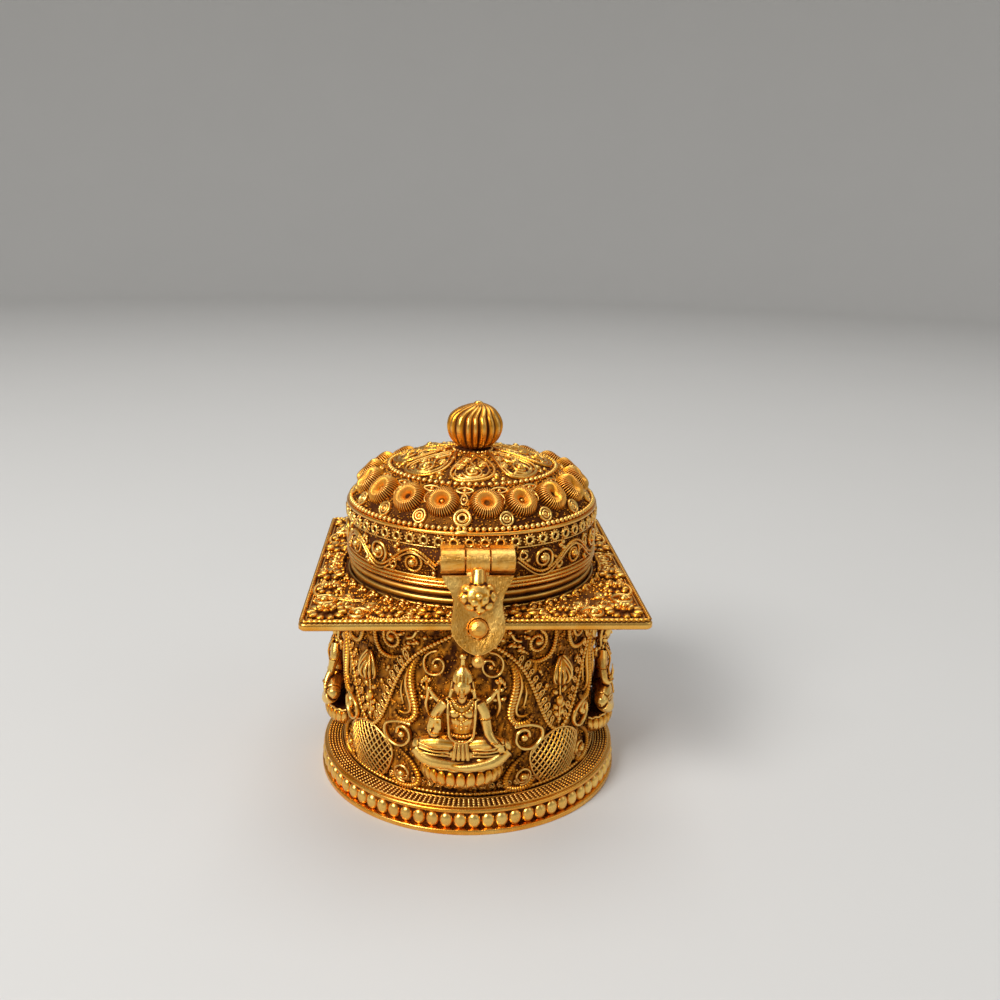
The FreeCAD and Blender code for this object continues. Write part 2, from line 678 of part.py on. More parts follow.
def drum_relief():
    arch = ribbon_on_drum(arch_route(), size("arch_wire_width").value, size("arch_wire_depth").value)
    feature("arch_wires", Part.makeCompound(panel_copies(arch)))
    feature("coiled_hooks", Part.makeCompound([
        piece for side in (-1, 1) for piece in panel_copies(hook(side))]))
    diagonal = FULL_TURN / size("panel_count").value / 2
    feature("spandrel_buds", Part.makeCompound(panel_copies(bud(), diagonal)))
    feature("net_wedges", Part.makeCompound(panel_copies(net_wedge(), diagonal)))
    bosses = [piece for side in (-1, 1) for piece in panel_copies(boss(), side * size("boss_angle").value)]
    feature("coil_bosses", Part.makeCompound(bosses))


def hook(side):
    arch_foot = foot_top.value + size("arch_foot_height").value
    rise = size("hook_height").value
    low = arch_foot + (arch_crown.value - arch_foot) * size("hook_top_share").value - rise
    route = [(side * degrees, low + rise * share) for degrees, share in HOOK_ROUTE_SHARES]
    return ribbon_on_drum(route, size("hook_width").value, size("hook_depth").value)


def bud():
    """A teardrop, round below and pointed above, with a flat back on the drum."""
    low = foot_top.value + size("bud_foot_height").value
    seat = relief_seat.value
    sections = []
    for up, wide in BUD_PROFILE_SHARES:
        half_width = size("bud_width").value / 2 * wide
        depth = size("bud_depth").value * wide
        level = low + up * size("bud_height").value
        sections.append([
            Vector(half_width * across, -(seat + depth * out), level) for across, out in BUD_SECTION_SHARES])
    return faceted(sections)


def net_wedge():
    """The thin wedge below a V of the arches, which carries the net."""
    low = foot_top.value + size("foot_wire_size").value + size("net_foot_gap").value
    high = foot_top.value + size("arch_foot_height").value - size("net_top_gap").value
    reach = size("net_reach_angle").value
    tip_share = 0.25
    seat = relief_seat.value
    sections = []
    for up, turn in ((0.0, reach), (1.0, reach * tip_share)):
        lift = Vector(0, 0, low + (high - low) * up)
        half_width = seat * math.sin(math.radians(turn))
        inner = wall_points(half_width)
        thicker = 1 + size("net_depth").value / seat
        outer = [Vector(point.x * thicker, point.y * thicker, 0) for point in reversed(inner)]
        sections.append([point + lift for point in inner + outer])
    return faceted(sections)


def boss():
    """A round boss with a sloping edge, flat on the drum."""
    seat = relief_seat.value
    centre = Vector(0, -seat, foot_top.value + size("boss_height").value)
    across, up, out = Vector(1, 0, 0), Vector(0, 0, 1), Vector(0, -1, 0)
    radius = size("boss_radius").value
    top_share = 0.5
    back = star(centre, across, up, radius, radius, SMALLEST_SIDES // 2)
    crown_middle = centre + out * size("boss_depth").value
    crown = star(crown_middle, across, up, radius * top_share, radius * top_share, SMALLEST_SIDES // 2)
    return faceted([back, crown])


# Figures

def wall_points(half_width):
    """Points from left to right along the drum wall behind a piece of this half width, just clear of it."""
    span_count = 2
    radius = relief_seat.value + size("relief_gap").value
    reach = math.degrees(math.asin(half_width / radius))
    clear = 1 / math.cos(math.radians(reach / span_count))
    return [
        on_drum(radius * clear, reach * (2 * index / span_count - 1), 0.0) for index in range(span_count + 1)]


def wall_section(height, half_width, depth, front_shares):
    """One level of a piece on the drum: its front from right to left, then the wall behind it."""
    radius = drum_radius.value
    front = [Vector(half_width * across, -(radius + depth * out), 0) for across, out in front_shares]
    lift = Vector(0, 0, height)
    return [point + lift for point in front + wall_points(half_width)]


def head_section(height, half_width, centre_out):
    """One level of the head and crown, round all the way."""
    centre = Vector(0, -(drum_radius.value + centre_out), height)
    return star(centre, Vector(1, 0, 0), Vector(0, 1, 0), half_width, half_width, SMALLEST_SIDES // 2)


def arm(shares):
    """An arm: sections of four corners across its path."""
    width = size("figure_width").value
    depth = size("figure_depth").value
    height = figure_height.value
    sections = []
    for across, out, up, thick in shares:
        centre = Vector(width * across, -(drum_radius.value + depth * out), figure_low.value + height * up)
        half = width * thick / 2
        sections.append(star(centre, Vector(1, 0, 0), Vector(0, -HALF_SHARE, 1), half, half, LIMB_SIDES // 2))
    return faceted(sections)


def figure():
    """The seated figure of the front panel: crossed legs, body, head with a crown, and two arms."""
    low = figure_low.value
    height = figure_height.value
    width = size("figure_width").value
    depth = size("figure_depth").value
    body = faceted([
        wall_section(low + height * up, width * wide, depth * out, FIGURE_FRONT_SHARES)
        for up, wide, out in BODY_PROFILE_SHARES])
    head = faceted([
        head_section(low + height * up, width * wide, depth * out) for up, wide, out in HEAD_PROFILE_SHARES])
    return body.fuse([head, arm(RIGHT_ARM_SHARES), arm(LEFT_ARM_SHARES)])


def lotus_seat():
    """A half bowl of upright petals on the drum wall."""
    low = foot_top.value + size("seat_foot_height").value
    petals = round(size("seat_petals").value)
    valley_share = 0.93
    rim_shares = []
    for index in range(1, 2 * petals):
        angle = math.pi * index / (2 * petals)
        reach = valley_share if index % 2 == 0 else 1.0
        rim_shares.append((reach * math.cos(angle), reach * math.sin(angle)))
    return faceted([
        wall_section(low + size("seat_height").value * up, size("seat_width").value / 2 * wide,
                     size("seat_depth").value * out, rim_shares)
        for up, wide, out in SEAT_PROFILE_SHARES])


def figures():
    names = ["front_figure", "right_figure", "back_figure", "left_figure"]
    for name, shape in zip(names, panel_copies(figure())):
        feature(name, shape)
    feature("lotus_seats", Part.makeCompound(panel_copies(lotus_seat())))


# Lid

def lid_band():
    outside = lid_band_radius
    step_inside = skirt_inside - size("lid_step_width")
    step_height = neck_rim + size("lid_step_gap")
    turned("lid_band", [
        (skirt_inside, skirt_bottom), (outside, skirt_bottom), (outside, band_top),
        (step_inside, band_top), (step_inside, step_height), (skirt_inside, step_height)])
    rim_outside = outside + size("rim_wire_size")
    rim_top = skirt_bottom + size("rim_wires_height")
    thin_ring("lid_rim_wires", [
        (outside, skirt_bottom), (rim_outside, skirt_bottom), (rim_outside, rim_top), (outside, rim_top)])
    shoulder_low = band_top - size("shoulder_wire_height")
    shoulder_middle = band_top - size("shoulder_wire_height") * HALF_SHARE
    thin_ring("lid_shoulder_wire", [
        (outside, shoulder_low), (outside + size("shoulder_wire_size"), shoulder_middle),
        (outside, band_top)])


def band_relief():
    """The waving vine on each side of the hinges, and the row of ring flowers from one end of the hasp's
    hinge round to the other."""
    seat = lid_band_radius + size("relief_gap")
    start = size("vine_gap_angle").value
    waves = round(size("vine_waves").value)
    middle = skirt_bottom.value + size("vine_height").value
    rise = size("vine_rise").value
    steps = waves * WAVE_STATIONS
    vines = []
    for first in (start, FULL_TURN / 2 + start):
        route = []
        for index in range(steps + 1):
            degrees = first + (FULL_TURN / 2 - 2 * start) * index / steps
            route.append((degrees, middle - rise * math.cos(2 * math.pi * index / WAVE_STATIONS)))
        vines.append(ribbon_on_drum(route, size("vine_width").value, size("vine_depth").value, seat))
    feature("band_vines", Part.makeCompound(vines))
    height = band_top.value - size("flower_row_gap").value
    step = (FULL_TURN - 2 * start) / ROW_STATIONS
    row = [(start + step * index, height) for index in range(ROW_STATIONS + 1)]
    feature("band_flower_row", ribbon_on_drum(
        row, size("flower_row_width").value, size("flower_row_depth").value, seat))


def dome_point(shares, inset):
    across, up = shares
    return (dome_radius - inset) * across, band_top + (size("dome_rise") - inset) * up


def dome():
    """The dome's shell of flats, open below, with a small flat top under the knob."""
    shells = []
    for shares, inset in ((DOME_PROFILE_SHARES, ZERO), (DOME_INSIDE_SHARES, size("dome_wall"))):
        outline = [dome_point(pair, inset) for pair in shares]
        shells.append(faceted([flats(radius.value, height.value, DOME_SIDES) for radius, height in outline]))
    feature("lid_dome", shells[0].cut(shells[1]))


def bead_rows():
    row = size("bead_row_size")
    foot = dome_radius
    middle = (foot + lid_band_radius) * HALF_SHARE
    thin_ring("lower_bead_row", [
        (foot, band_top), (lid_band_radius, band_top), (middle, band_top + row)])
    outer_radius, outer_height = dome_point(DOME_PROFILE_SHARES[2], ZERO)
    inner_radius, inner_height = dome_point(DOME_PROFILE_SHARES[3], ZERO)
    width_share = 0.24
    near_radius = inner_radius + (outer_radius - inner_radius) * width_share
    near_height = inner_height + (outer_height - inner_height) * width_share
    thin_ring("upper_bead_row", [
        (inner_radius, inner_height), (near_radius, near_height),
        (near_radius, inner_height + row * HALF_SHARE)])


def chord_of_dome(index):
    """Start, end and outward lean of one straight stretch of the dome's outline."""
    start, end = [
        Vector(across.value, 0, up.value)
        for across, up in (dome_point(shares, ZERO) for shares in DOME_PROFILE_SHARES[index:index + 2])]
    lean = math.degrees(math.atan2(end.z - start.z, start.x - end.x))
    return start, end, lean


def seated_on_dome(shape, index, share, turn):
    """Puts a flat-backed piece on a stretch of the dome, share of the way up, and turns it round the lid."""
    start, end, lean = chord_of_dome(index)
    middle = start + (end - start) * share
    leaning = shape.rotated(Vector(), Vector(0, 1, 0), lean).translated(middle)
    return leaning.rotated(Vector(), Vector(0, 0, 1), turn)


def rosettes():
    count = round(size("rosette_count").value)
    pitch = FULL_TURN / count
    first = size("rosette_turn_angle").value
    pleats = round(size("rosette_pleats").value)
    flower = pleated(size("rosette_radius").value, size("rosette_height").value, pleats)
    feature("rosettes", Part.makeCompound([
        seated_on_dome(flower, 1, HALF_SHARE, first + pitch * (index + HALF_SHARE))
        for index in range(count)]))
    bezel_top_share = 0.7
    bezel = faceted([
        flats(size("bezel_radius").value, 0.0, SMALLEST_SIDES),
        flats(size("bezel_radius").value * bezel_top_share, size("bezel_height").value, SMALLEST_SIDES)])
    low_share = 0.62
    feature("ring_bezels", Part.makeCompound([
        seated_on_dome(bezel, 0, low_share, first + pitch * index) for index in range(count)]))


def knob():
    flange_top_share = 0.35
    neck_height = size("knob_neck_height").value
    neck_radius = size("knob_neck_radius").value
    outline = [
        (size("neck_flange_radius").value, 0.0), (neck_radius, neck_height * flange_top_share),
        (neck_radius, neck_height)]
    feature("knob_neck", faceted([
        flats(radius, dome_top.value + lift, SMALL_SIDES) for radius, lift in outline]))
    ribs = round(size("knob_ribs").value)
    sections = []
    for up, wide in KNOB_PROFILE_SHARES:
        centre = Vector(0, 0, dome_top.value + neck_height + size("knob_height").value * up)
        ridge = size("knob_radius").value * wide
        valley = ridge - size("knob_groove_depth").value * wide
        sections.append(star(centre, Vector(1, 0, 0), Vector(0, 1, 0), ridge, valley, ribs))
    feature("knob", faceted(sections))


# Back hinge

def outer_knuckles(name, radius):
    right = tube(f"{name}_right_knuckle", radius, bore_radius, outer_start, outer_length)
    left = tube(f"{name}_left_knuckle", radius, bore_radius, -half_hinge, outer_length)
    return [left, right]


def pin(label, y, z):
    """A hinge pin along X, a little longer than the knuckles."""
    half = half_hinge + size("pin_overhang")
    bar = doc.addObject("Part::Cylinder", label)
    bind(bar, Radius=size("pin_radius"), Height=half * 2)
    place(bar, x=-half, y=y, z=z, axis=(0, 1, 0), angle=90)


def round_bar(name, radius, half_length, y, z):
    """A bar along X that clears or bores what lies round a hinge axis."""
    bar = doc.addObject("Part::Cylinder", name)
    bind(bar, Radius=radius, Height=half_length * 2)
    return place(bar, x=-half_length, y=y, z=z, axis=(0, 1, 0), angle=90)


def back_hinge():
    axis_y = back_axis_out
    axis_z = back_axis_height
    radius = size("back_knuckle_radius")
    thick = size("leaf_thickness")
    clear = radius + size("leaf_clearance")
    outer_pair = outer_knuckles("box_leaf", radius)
    for knuckle in outer_pair:
        place(knuckle, y=axis_y, z=axis_z)
    foot_front = axis_y - thick
    foot_back = foot_front + size("leaf_foot_depth")
    foot_plate = block(
        "box_leaf_foot", -half_hinge, half_hinge, foot_front, foot_back, plate_top, plate_top + thick)
    upright = block("box_leaf_upright", -half_hinge, half_hinge, axis_y - thick * HALF_SHARE,
                    axis_y + thick * HALF_SHARE, plate_top, axis_z - bore_radius - thick * HALF_SHARE)
    middle_room = round_bar("box_leaf_room", clear, outer_start, axis_y, axis_z)
    relieved = cut("box_leaf_relieved", upright, middle_room)
    fuse("box_hinge_leaf", outer_pair + [foot_plate, relieved])

    middle = tube("lid_leaf_knuckle", radius, bore_radius, -middle_half, middle_half * 2)
    place(middle, y=axis_y, z=axis_z)
    band = lid_band_radius
    leaf_back = band + thick
    leaf_low = skirt_bottom + size("rim_wires_height") + size("knuckle_gap")
    flat = block("lid_leaf_flat", -half_hinge, half_hinge, band - thick, leaf_back, leaf_low,
                 leaf_low + size("leaf_height"))
    strap_front = band + size("rim_wire_size") + size("leaf_clearance")
    strap_back = axis_y - bore_radius - size("pin_clearance")
    strap = block(
        "lid_leaf_strap", -middle_half, middle_half, strap_front, strap_back, axis_z, leaf_low + thick)
    whole = fuse("lid_leaf_whole", [middle, flat, strap])
    seat = doc.addObject("Part::Cylinder", "lid_leaf_seat")
    bind(seat, Radius=band, Height=band_top)
    cut("lid_hinge_leaf", whole, seat)
    pin("lid_hinge_pin", axis_y, axis_z)


# Hasp, its hinge and the stud

def hasp_hinge():
    axis_y = -hasp_axis_out
    radius = size("hasp_knuckle_radius")
    thick = size("leaf_thickness")
    band = lid_band_radius
    outer_pair = outer_knuckles("hasp_leaf", radius)
    for knuckle in outer_pair:
        place(knuckle, y=axis_y, z=hasp_axis_height)
    flat = block("hasp_leaf_flat", -half_hinge, half_hinge, -(band + thick), -(band - thick),
                 hasp_axis_height - size("hasp_leaf_drop"), hasp_axis_height + size("hasp_leaf_rise"))
    room = round_bar("hasp_leaf_room", radius + size("leaf_clearance"), outer_start, axis_y, hasp_axis_height)
    relieved = cut("hasp_leaf_relieved", flat, room)
    whole = fuse("hasp_leaf_whole", outer_pair + [relieved])
    seat = doc.addObject("Part::Cylinder", "hasp_leaf_seat")
    bind(seat, Radius=band, Height=band_top)
    cut("hasp_hinge_leaf", whole, seat)
    pin("hasp_pin", axis_y, hasp_axis_height)


def lean_on_axis(piece):
    """Turns a hasp piece, drawn hanging straight down from its hinge axis, to its lean on the box."""
    return place(piece, y=-hasp_axis_out, z=hasp_axis_height, axis=(-1, 0, 0), angle=hasp_lean)


def wedge(name, top_half, bottom_half, top, bottom, low_y, high_y):
    """A slab along Z whose half width changes from the top to the bottom, between two depths."""
    slab = doc.addObject("Part::Wedge", name)
    bind(slab, Xmin=-bottom_half, Xmax=bottom_half, X2min=-top_half, X2max=top_half,
         Ymin=ZERO, Ymax=bottom - top, Zmin=-high_y, Zmax=-low_y, Z2min=-high_y, Z2max=-low_y)
    return place(slab, z=-bottom, axis=(1, 0, 0), angle=90)


def hasp():
    thick = size("hasp_thickness")
    front = -(size("hasp_offset") + thick * HALF_SHARE)
    back = -(size("hasp_offset") - thick * HALF_SHARE)
    top = size("hasp_top")
    lobe_drop = stud_drop - size("hasp_lobe_rise")
    waist_drop = stud_drop - size("hasp_waist_rise")
    tip_start = stud_drop + size("hasp_lobe_radius") * HALF_SHARE
    tip_shoulder_share = 0.79
    shield = wedge("hasp_shield", half_hinge - size("hasp_top_inset"), size("hasp_waist_width") / 2, top,
                   waist_drop, front, back)
    waist = wedge("hasp_waist", size("hasp_waist_width") / 2, size("hasp_waist_width") / 2,
                  waist_drop, lobe_drop, front, back)
    tip = wedge("hasp_tip", size("hasp_lobe_radius") * tip_shoulder_share, size("hasp_tip_width") / 2,
                tip_start, tip_drop, front, back)
    lobe = doc.addObject("Part::Cylinder", "hasp_lobe")
    bind(lobe, Radius=size("hasp_lobe_radius"), Height=thick)
    place(lobe, y=back, z=-lobe_drop, axis=(1, 0, 0), angle=90)
    strap_top = -bore_radius - thick * HALF_SHARE
    strap = block("hasp_strap", -middle_half, middle_half, front, back, -(top + thick), strap_top)
    knuckle = tube("hasp_knuckle", size("hasp_knuckle_radius"), bore_radius, -middle_half, middle_half * 2)
    blank = fuse("hasp_blank", [shield, waist, lobe, tip, strap, knuckle])
    hole = doc.addObject("Part::Cylinder", "hasp_hole")
    bind(hole, Radius=size("stud_radius") + size("stud_clearance"), Height=thick * 3)
    place(hole, y=back + thick, z=-stud_drop, axis=(1, 0, 0), angle=90)
    lean_on_axis(cut("hasp_plate", blank, hole))

    radius = size("tip_ball_radius").value
    ball = faceted([
        flats(radius * wide, radius * (2 * up - 1), BALL_SIDES) for up, wide in BALL_PROFILE_SHARES])
    y, z = hasp_point(size("hasp_offset"), tip_drop + size("tip_ball_radius"))
    feature("hasp_tip_ball", ball.translated(Vector(0, y.value, z.value)))


def hasp_point(front, drop):
    """Where a point of the leaning hasp lies: in front of the hinge axis and down the plate."""
    y = -hasp_axis_out - front * cosine(hasp_lean) - drop * sine(hasp_lean)
    z = hasp_axis_height + front * sine(hasp_lean) - drop * cosine(hasp_lean)
    return y, z


def hasp_flower():
    """Seven granules round a stem that hangs from the middle knuckle, on the hasp's front."""
    granules = 7
    flower = pleated(size("flower_radius").value, size("flower_height").value, granules)
    half_stem = size("stem_width").value / 2
    flower_drop = stud_drop - size("flower_rise")
    top = flower_drop.value - size("hasp_top").value
    stem_height = size("flower_height").value * HALF_SHARE
    foot = [
        Vector(-half_stem, 0, 0), Vector(half_stem, 0, 0),
        Vector(half_stem, top, 0), Vector(-half_stem, top, 0)]
    crest_share = 0.7
    crest = [Vector(point.x * crest_share, point.y, stem_height) for point in foot]
    whole = flower.fuse(faceted([foot, crest]))
    y, z = hasp_point(size("hasp_offset") + size("hasp_thickness") / 2, flower_drop)
    tilt = RIGHT_ANGLE.value - hasp_lean.value
    leaning = whole.rotated(Vector(), Vector(1, 0, 0), tilt)
    feature("hasp_flower", leaning.translated(Vector(0, y.value, z.value)))


def latch_stud():
    """The stud: a shank square to the plate's edge and a domed head square to the hasp."""
    inner_face = size("hasp_offset") - size("hasp_thickness") / 2
    straight = size("hasp_thickness").value + size("stud_proud").value
    radius = size("stud_radius").value
    levels = [(0.0, radius)] + [
        (straight + size("stud_dome").value * up, radius * wide) for up, wide in STUD_DOME_SHARES]
    head_y, head_z = hasp_point(inner_face, stud_drop)
    tilt = RIGHT_ANGLE.value - hasp_lean.value
    upright = faceted([flats(wide, up, SMALL_SIDES) for up, wide in levels])
    head = upright.rotated(Vector(), Vector(1, 0, 0), tilt).translated(Vector(0, head_y.value, head_z.value))
    length = -plate_half.value - head_y.value + size("stud_shank_radius").value
    shank = Part.makeCylinder(
        size("stud_shank_radius").value, length, Vector(0, -plate_half.value, head_z.value), Vector(0, -1, 0))
    feature("latch_stud", head.fuse(shank))


NODES = [
    "base_floor", "base_bead_band", "base_top", "base_grain_ring", "drum_foot_wire", "drum_wall",
    "inner_cup", "square_plate", "plate_edge_wire", "corner_flowers", "plate_leaf_scrolls", "arch_wires",
    "coiled_hooks", "spandrel_buds", "net_wedges", "coil_bosses", "lotus_seats", "front_figure",
    "right_figure", "back_figure", "left_figure", "box_hinge_leaf", "lid_hinge_pin", "latch_stud",
    "lid_band", "band_vines", "band_flower_row", "lid_rim_wires", "lid_shoulder_wire", "lower_bead_row",
    "lid_dome", "rosettes", "ring_bezels", "upper_bead_row", "knob_neck", "knob", "lid_hinge_leaf",
    "hasp_hinge_leaf", "hasp_pin",
    "hasp_plate", "hasp_flower", "hasp_tip_ball",
]


def check_and_export():
    """Stops on a failed object or a bad shape, then writes one STEP file for each node."""
    failed = [item.Label for item in doc.Objects if {"Invalid", "Error"} & set(item.State)]
    if failed:
        raise RuntimeError(f"these objects failed: {failed}")
    pieces = {label: doc.getObjectsByLabel(label)[0] for label in NODES}
    for label, piece in pieces.items():
        if piece.Shape.isNull() or not piece.Shape.isValid() or not piece.Shape.Solids:
            raise RuntimeError(f"{label} has no valid solid")
    os.makedirs("parts", exist_ok=True)
    for label, piece in pieces.items():
        piece.Shape.exportStep(f"parts/{label}.step")


def main():
    foot()
    drum()
    cup()
    square_plate()
    edge_wire()
    plate_relief()
    drum_relief()
    figures()
    lid_band()
    band_relief()
    dome()
    bead_rows()
    rosettes()
    knob()
    back_hinge()
    hasp_hinge()
    hasp()
    hasp_flower()
    latch_stud()
    doc.recompute()
    check_and_export()


main()
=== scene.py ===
import bpy
import numpy as np
from bpy.props import FloatProperty, FloatVectorProperty, IntProperty, PointerProperty
from bpy.types import Operator, Panel, PropertyGroup
from mathutils import Matrix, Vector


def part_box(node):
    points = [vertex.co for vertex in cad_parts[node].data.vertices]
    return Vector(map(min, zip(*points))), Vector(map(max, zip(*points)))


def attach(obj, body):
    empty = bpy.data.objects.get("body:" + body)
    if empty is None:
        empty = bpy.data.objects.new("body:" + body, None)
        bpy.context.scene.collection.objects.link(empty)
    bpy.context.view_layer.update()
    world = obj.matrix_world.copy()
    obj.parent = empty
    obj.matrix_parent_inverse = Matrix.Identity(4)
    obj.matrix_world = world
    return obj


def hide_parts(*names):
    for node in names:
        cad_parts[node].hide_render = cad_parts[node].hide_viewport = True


bl_info = {
    "name": "Filigree paan box",
    "version": (1, 0, 0),
    "blender": (4, 5, 0),
    "location": "3D View > Sidebar > Paan box",
    "description": "Filigree, figures, hinges and gilding of a small round paan box on a square plate",
    "category": "Object",
}

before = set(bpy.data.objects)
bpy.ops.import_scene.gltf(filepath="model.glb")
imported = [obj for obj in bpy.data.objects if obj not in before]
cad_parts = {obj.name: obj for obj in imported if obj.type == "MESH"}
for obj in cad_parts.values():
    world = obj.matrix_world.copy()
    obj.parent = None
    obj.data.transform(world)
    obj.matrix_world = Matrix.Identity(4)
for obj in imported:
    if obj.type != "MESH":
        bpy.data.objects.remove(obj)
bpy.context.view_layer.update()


def edge(node, axis, end=1):
    """Where the box of a CAD node ends on an axis (0, 1, 2 for x, y, z), in millimetres; 0 is the low end."""
    return round(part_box(node)[end][axis] * 1000, 2)


# What the ornament sits on, in millimetres: radii from the axis and heights from the floor
FOOT = edge("base_floor", 0)
FOOT_TOP = edge("base_top", 2)
DRUM = edge("drum_wall", 0)
CUP = edge("inner_cup", 0)
CUP_TOP = edge("inner_cup", 2)
PLATE = edge("square_plate", 0)
PLATE_LOW = edge("square_plate", 2, 0)
PLATE_TOP = edge("square_plate", 2)
BAND = edge("lid_band", 0)
BAND_LOW = edge("lid_band", 2, 0)
SHOULDER = edge("lid_band", 2)
DOME_TOP = edge("lid_dome", 2)
# The dome is half an ellipse about this height, and reaches this far out there
DOME_MIDDLE = 52.0
DOME_REACH = 23.68
# The figure panels' turn round the axis, in degrees from the front
PANELS = (-5.0, 85.0, 175.0, 265.0)
# Cosine and sine of the turns to the plate's front, right, back and left
QUARTERS = ((1, 0), (0, 1), (-1, 0), (0, -1))
# The hasp's hinge axis (y and height), and how far the hasp leans out from upright, in degrees
HASP_AXIS = [(edge("hasp_pin", axis, 0) + edge("hasp_pin", axis)) / 2 for axis in (1, 2)]
HASP_LEAN = 22.74


class BoxSizes(PropertyGroup):
    """Sizes of the ornament that a user may change."""
    foot_beads: IntProperty(name="Foot beads", description="Beads round the foot", default=72, min=24)
    top_beads: IntProperty(name="Lid beads", description="Beads round the lid's shoulder", default=132,
                           min=30)
    crown_beads: IntProperty(name="Upper beads", description="Beads round the lid's top", default=82, min=20)
    ring_flowers: IntProperty(name="Ring flowers", description="Small ring flowers under the lid's shoulder",
                              default=56, min=16)
    grain_rows: IntProperty(name="Grain rows", description="Rows of grains on the foot's top", default=190,
                            min=40)
    wire: FloatProperty(name="Wire", description="Radius of the round arch wire", default=0.00042,
                        unit="LENGTH", precision=5)
    rope: FloatProperty(name="Rope", description="Radius of the twisted edge wire", default=0.00046,
                        unit="LENGTH", precision=5)
    grain: FloatProperty(name="Grain", description="Radius of a filling grain", default=0.00024,
                         unit="LENGTH", precision=5)
    knob_ribs: IntProperty(name="Knob ribs", description="Ribs round the knob", default=18, min=8)
    rosette_pleats: IntProperty(name="Rosette pleats", description="Fine pleats of a rosette", default=38,
                                min=12)


class BoxColours(PropertyGroup):
    """Colours of the gilding, the bright crests (worn, and partly a painted highlight) and the dark of the
    hollows.
    """
    gold: FloatVectorProperty(name="Gold", description="Gilding on the filigree", subtype="COLOR",
                              default=(0.84, 0.33, 0.024), min=0.0, max=1.0)
    # Bright gold of the crests: partly wear, partly a painted highlight
    bright: FloatVectorProperty(name="Bright gold", description="Worn crests of the filigree",
                                subtype="COLOR", default=(1.0, 0.66, 0.18), min=0.0, max=1.0)
    hollow: FloatVectorProperty(name="Hollows", description="Dark brown of the hollows", subtype="COLOR",
                                default=(0.10, 0.026, 0.004), min=0.0, max=1.0)
    pale: FloatVectorProperty(name="Pale gold", description="Satin gold of the hasp and the hinges",
                              subtype="COLOR", default=(0.92, 0.56, 0.15), min=0.0, max=1.0)
    floor: FloatVectorProperty(name="Floor", description="Floor and backdrop", subtype="COLOR",
                               default=(0.62, 0.61, 0.59), min=0.0, max=1.0)


class Shape:
    """Points in millimetres, faces as rows of corner numbers, and a shade for each point: 0 in a hollow, 1
    on a crest."""

    def __init__(self, points, faces, shade):
        self.points = np.asarray(points, float)
        self.faces = faces
        self.shade = np.clip(np.broadcast_to(shade, len(self.points)), 0, 1)


def xyz(*parts):
    """Points whose coordinates are the parts: numbers, or arrays that spread to one common size."""
    return np.stack(np.broadcast_arrays(*parts), -1)


def full_turn(count):
    """So many angles, evenly once round."""
    return np.arange(count) * 2 * np.pi / count


def about(radius, angle, height):
    """Points round the axis, where the angle 0 is the front and a right angle is +x."""
    return xyz(radius * np.sin(angle), -radius * np.cos(angle), height)


def joined(*shapes):
    """The shapes as one, each one's corner numbers shifted past the points before it."""
    starts = np.cumsum([0] + [len(shape.points) for shape in shapes])
    faces = [rows + start for shape, start in zip(shapes, starts) for rows in shape.faces]
    points = np.concatenate([shape.points for shape in shapes])
    return Shape(points, faces, np.concatenate([shape.shade for shape in shapes]))


def repeated(shape, points):
    """The shape once for each row of points, which are its own points moved."""
    steps = np.arange(len(points))[:, None, None] * len(shape.points)
    faces = [(rows[None] + steps).reshape(-1, rows.shape[1]) for rows in shape.faces]
    return Shape(points.reshape(-1, 3), faces, np.tile(shape.shade, len(points)))


def spread(shape, origins, frames=None, sizes=1.0):
    """A copy of the shape at each origin: its points times the copy's size, turned so that its x, y and z
    lie along the three rows of the copy's frame."""
    origins = np.atleast_2d(np.asarray(origins, float))
    count = len(origins)
    frames = np.broadcast_to(np.eye(3) if frames is None else frames, (count, 3, 3))
    sizes = np.asarray(sizes, float)
    if sizes.ndim == 1 and len(sizes) == count:
        sizes = sizes[:, None]
    sizes = np.broadcast_to(sizes, (count, 3))
    points = np.einsum("knc,kcd->knd", shape.points[None] * sizes[:, None], frames) + origins[:, None]
    return repeated(shape, points)


def mirrored(shape):
    """The shape and its mirror image across x = 0, whose faces run the other way round."""
    twin = Shape(shape.points * (-1, 1, 1), [rows[:, ::-1] for rows in shape.faces], shape.shade)
    return joined(shape, twin)


def swung(shape, cosine, sine):
    """The shape turned about the axis by the angle of that cosine and sine."""
    points = shape.points @ np.array([[cosine, sine, 0], [-sine, cosine, 0], [0, 0, 1]])
    return Shape(points, shape.faces, shape.shade)


def lattice(rows, columns, loop_rows=False, loop_columns=False):
    """Four-cornered faces of a grid whose points are numbered row by row. A looped side meets its start."""
    row, column = np.meshgrid(np.arange(rows if loop_rows else rows - 1),
                              np.arange(columns if loop_columns else columns - 1), indexing="ij")
    row, column = row.ravel(), column.ravel()
    above, right = (row + 1) % rows, (column + 1) % columns
    corners = (row * columns + column, row * columns + right, above * columns + right,
               above * columns + column)
    return np.stack(corners, 1)


def capped(grid, shade, foot=None, crown=None):
    """A grid of points (row, column, 3) looped along its rows, its two open ends closed by a fan each."""
    rows, columns = grid.shape[:2]
    foot = grid[0].mean(0) if foot is None else foot
    crown = grid[-1].mean(0) if crown is None else crown
    here = np.arange(columns)
    after = (here + 1) % columns
    last = (rows - 1) * columns
    bottom = xyz(after, here, rows * columns)
    top = xyz(last + here, last + after, rows * columns + 1)
    shade = np.broadcast_to(shade, (rows, columns))
    shades = np.r_[shade.ravel(), shade[0].mean(), shade[-1].mean()]
    return Shape(np.r_[grid.reshape(-1, 3), [foot], [crown]],
                 [lattice(rows, columns, loop_columns=True), bottom, top], shades)


def unit(vectors):
    """Each vector divided by its length."""
    return vectors / np.maximum(np.linalg.norm(vectors, axis=-1, keepdims=True), 1e-9)


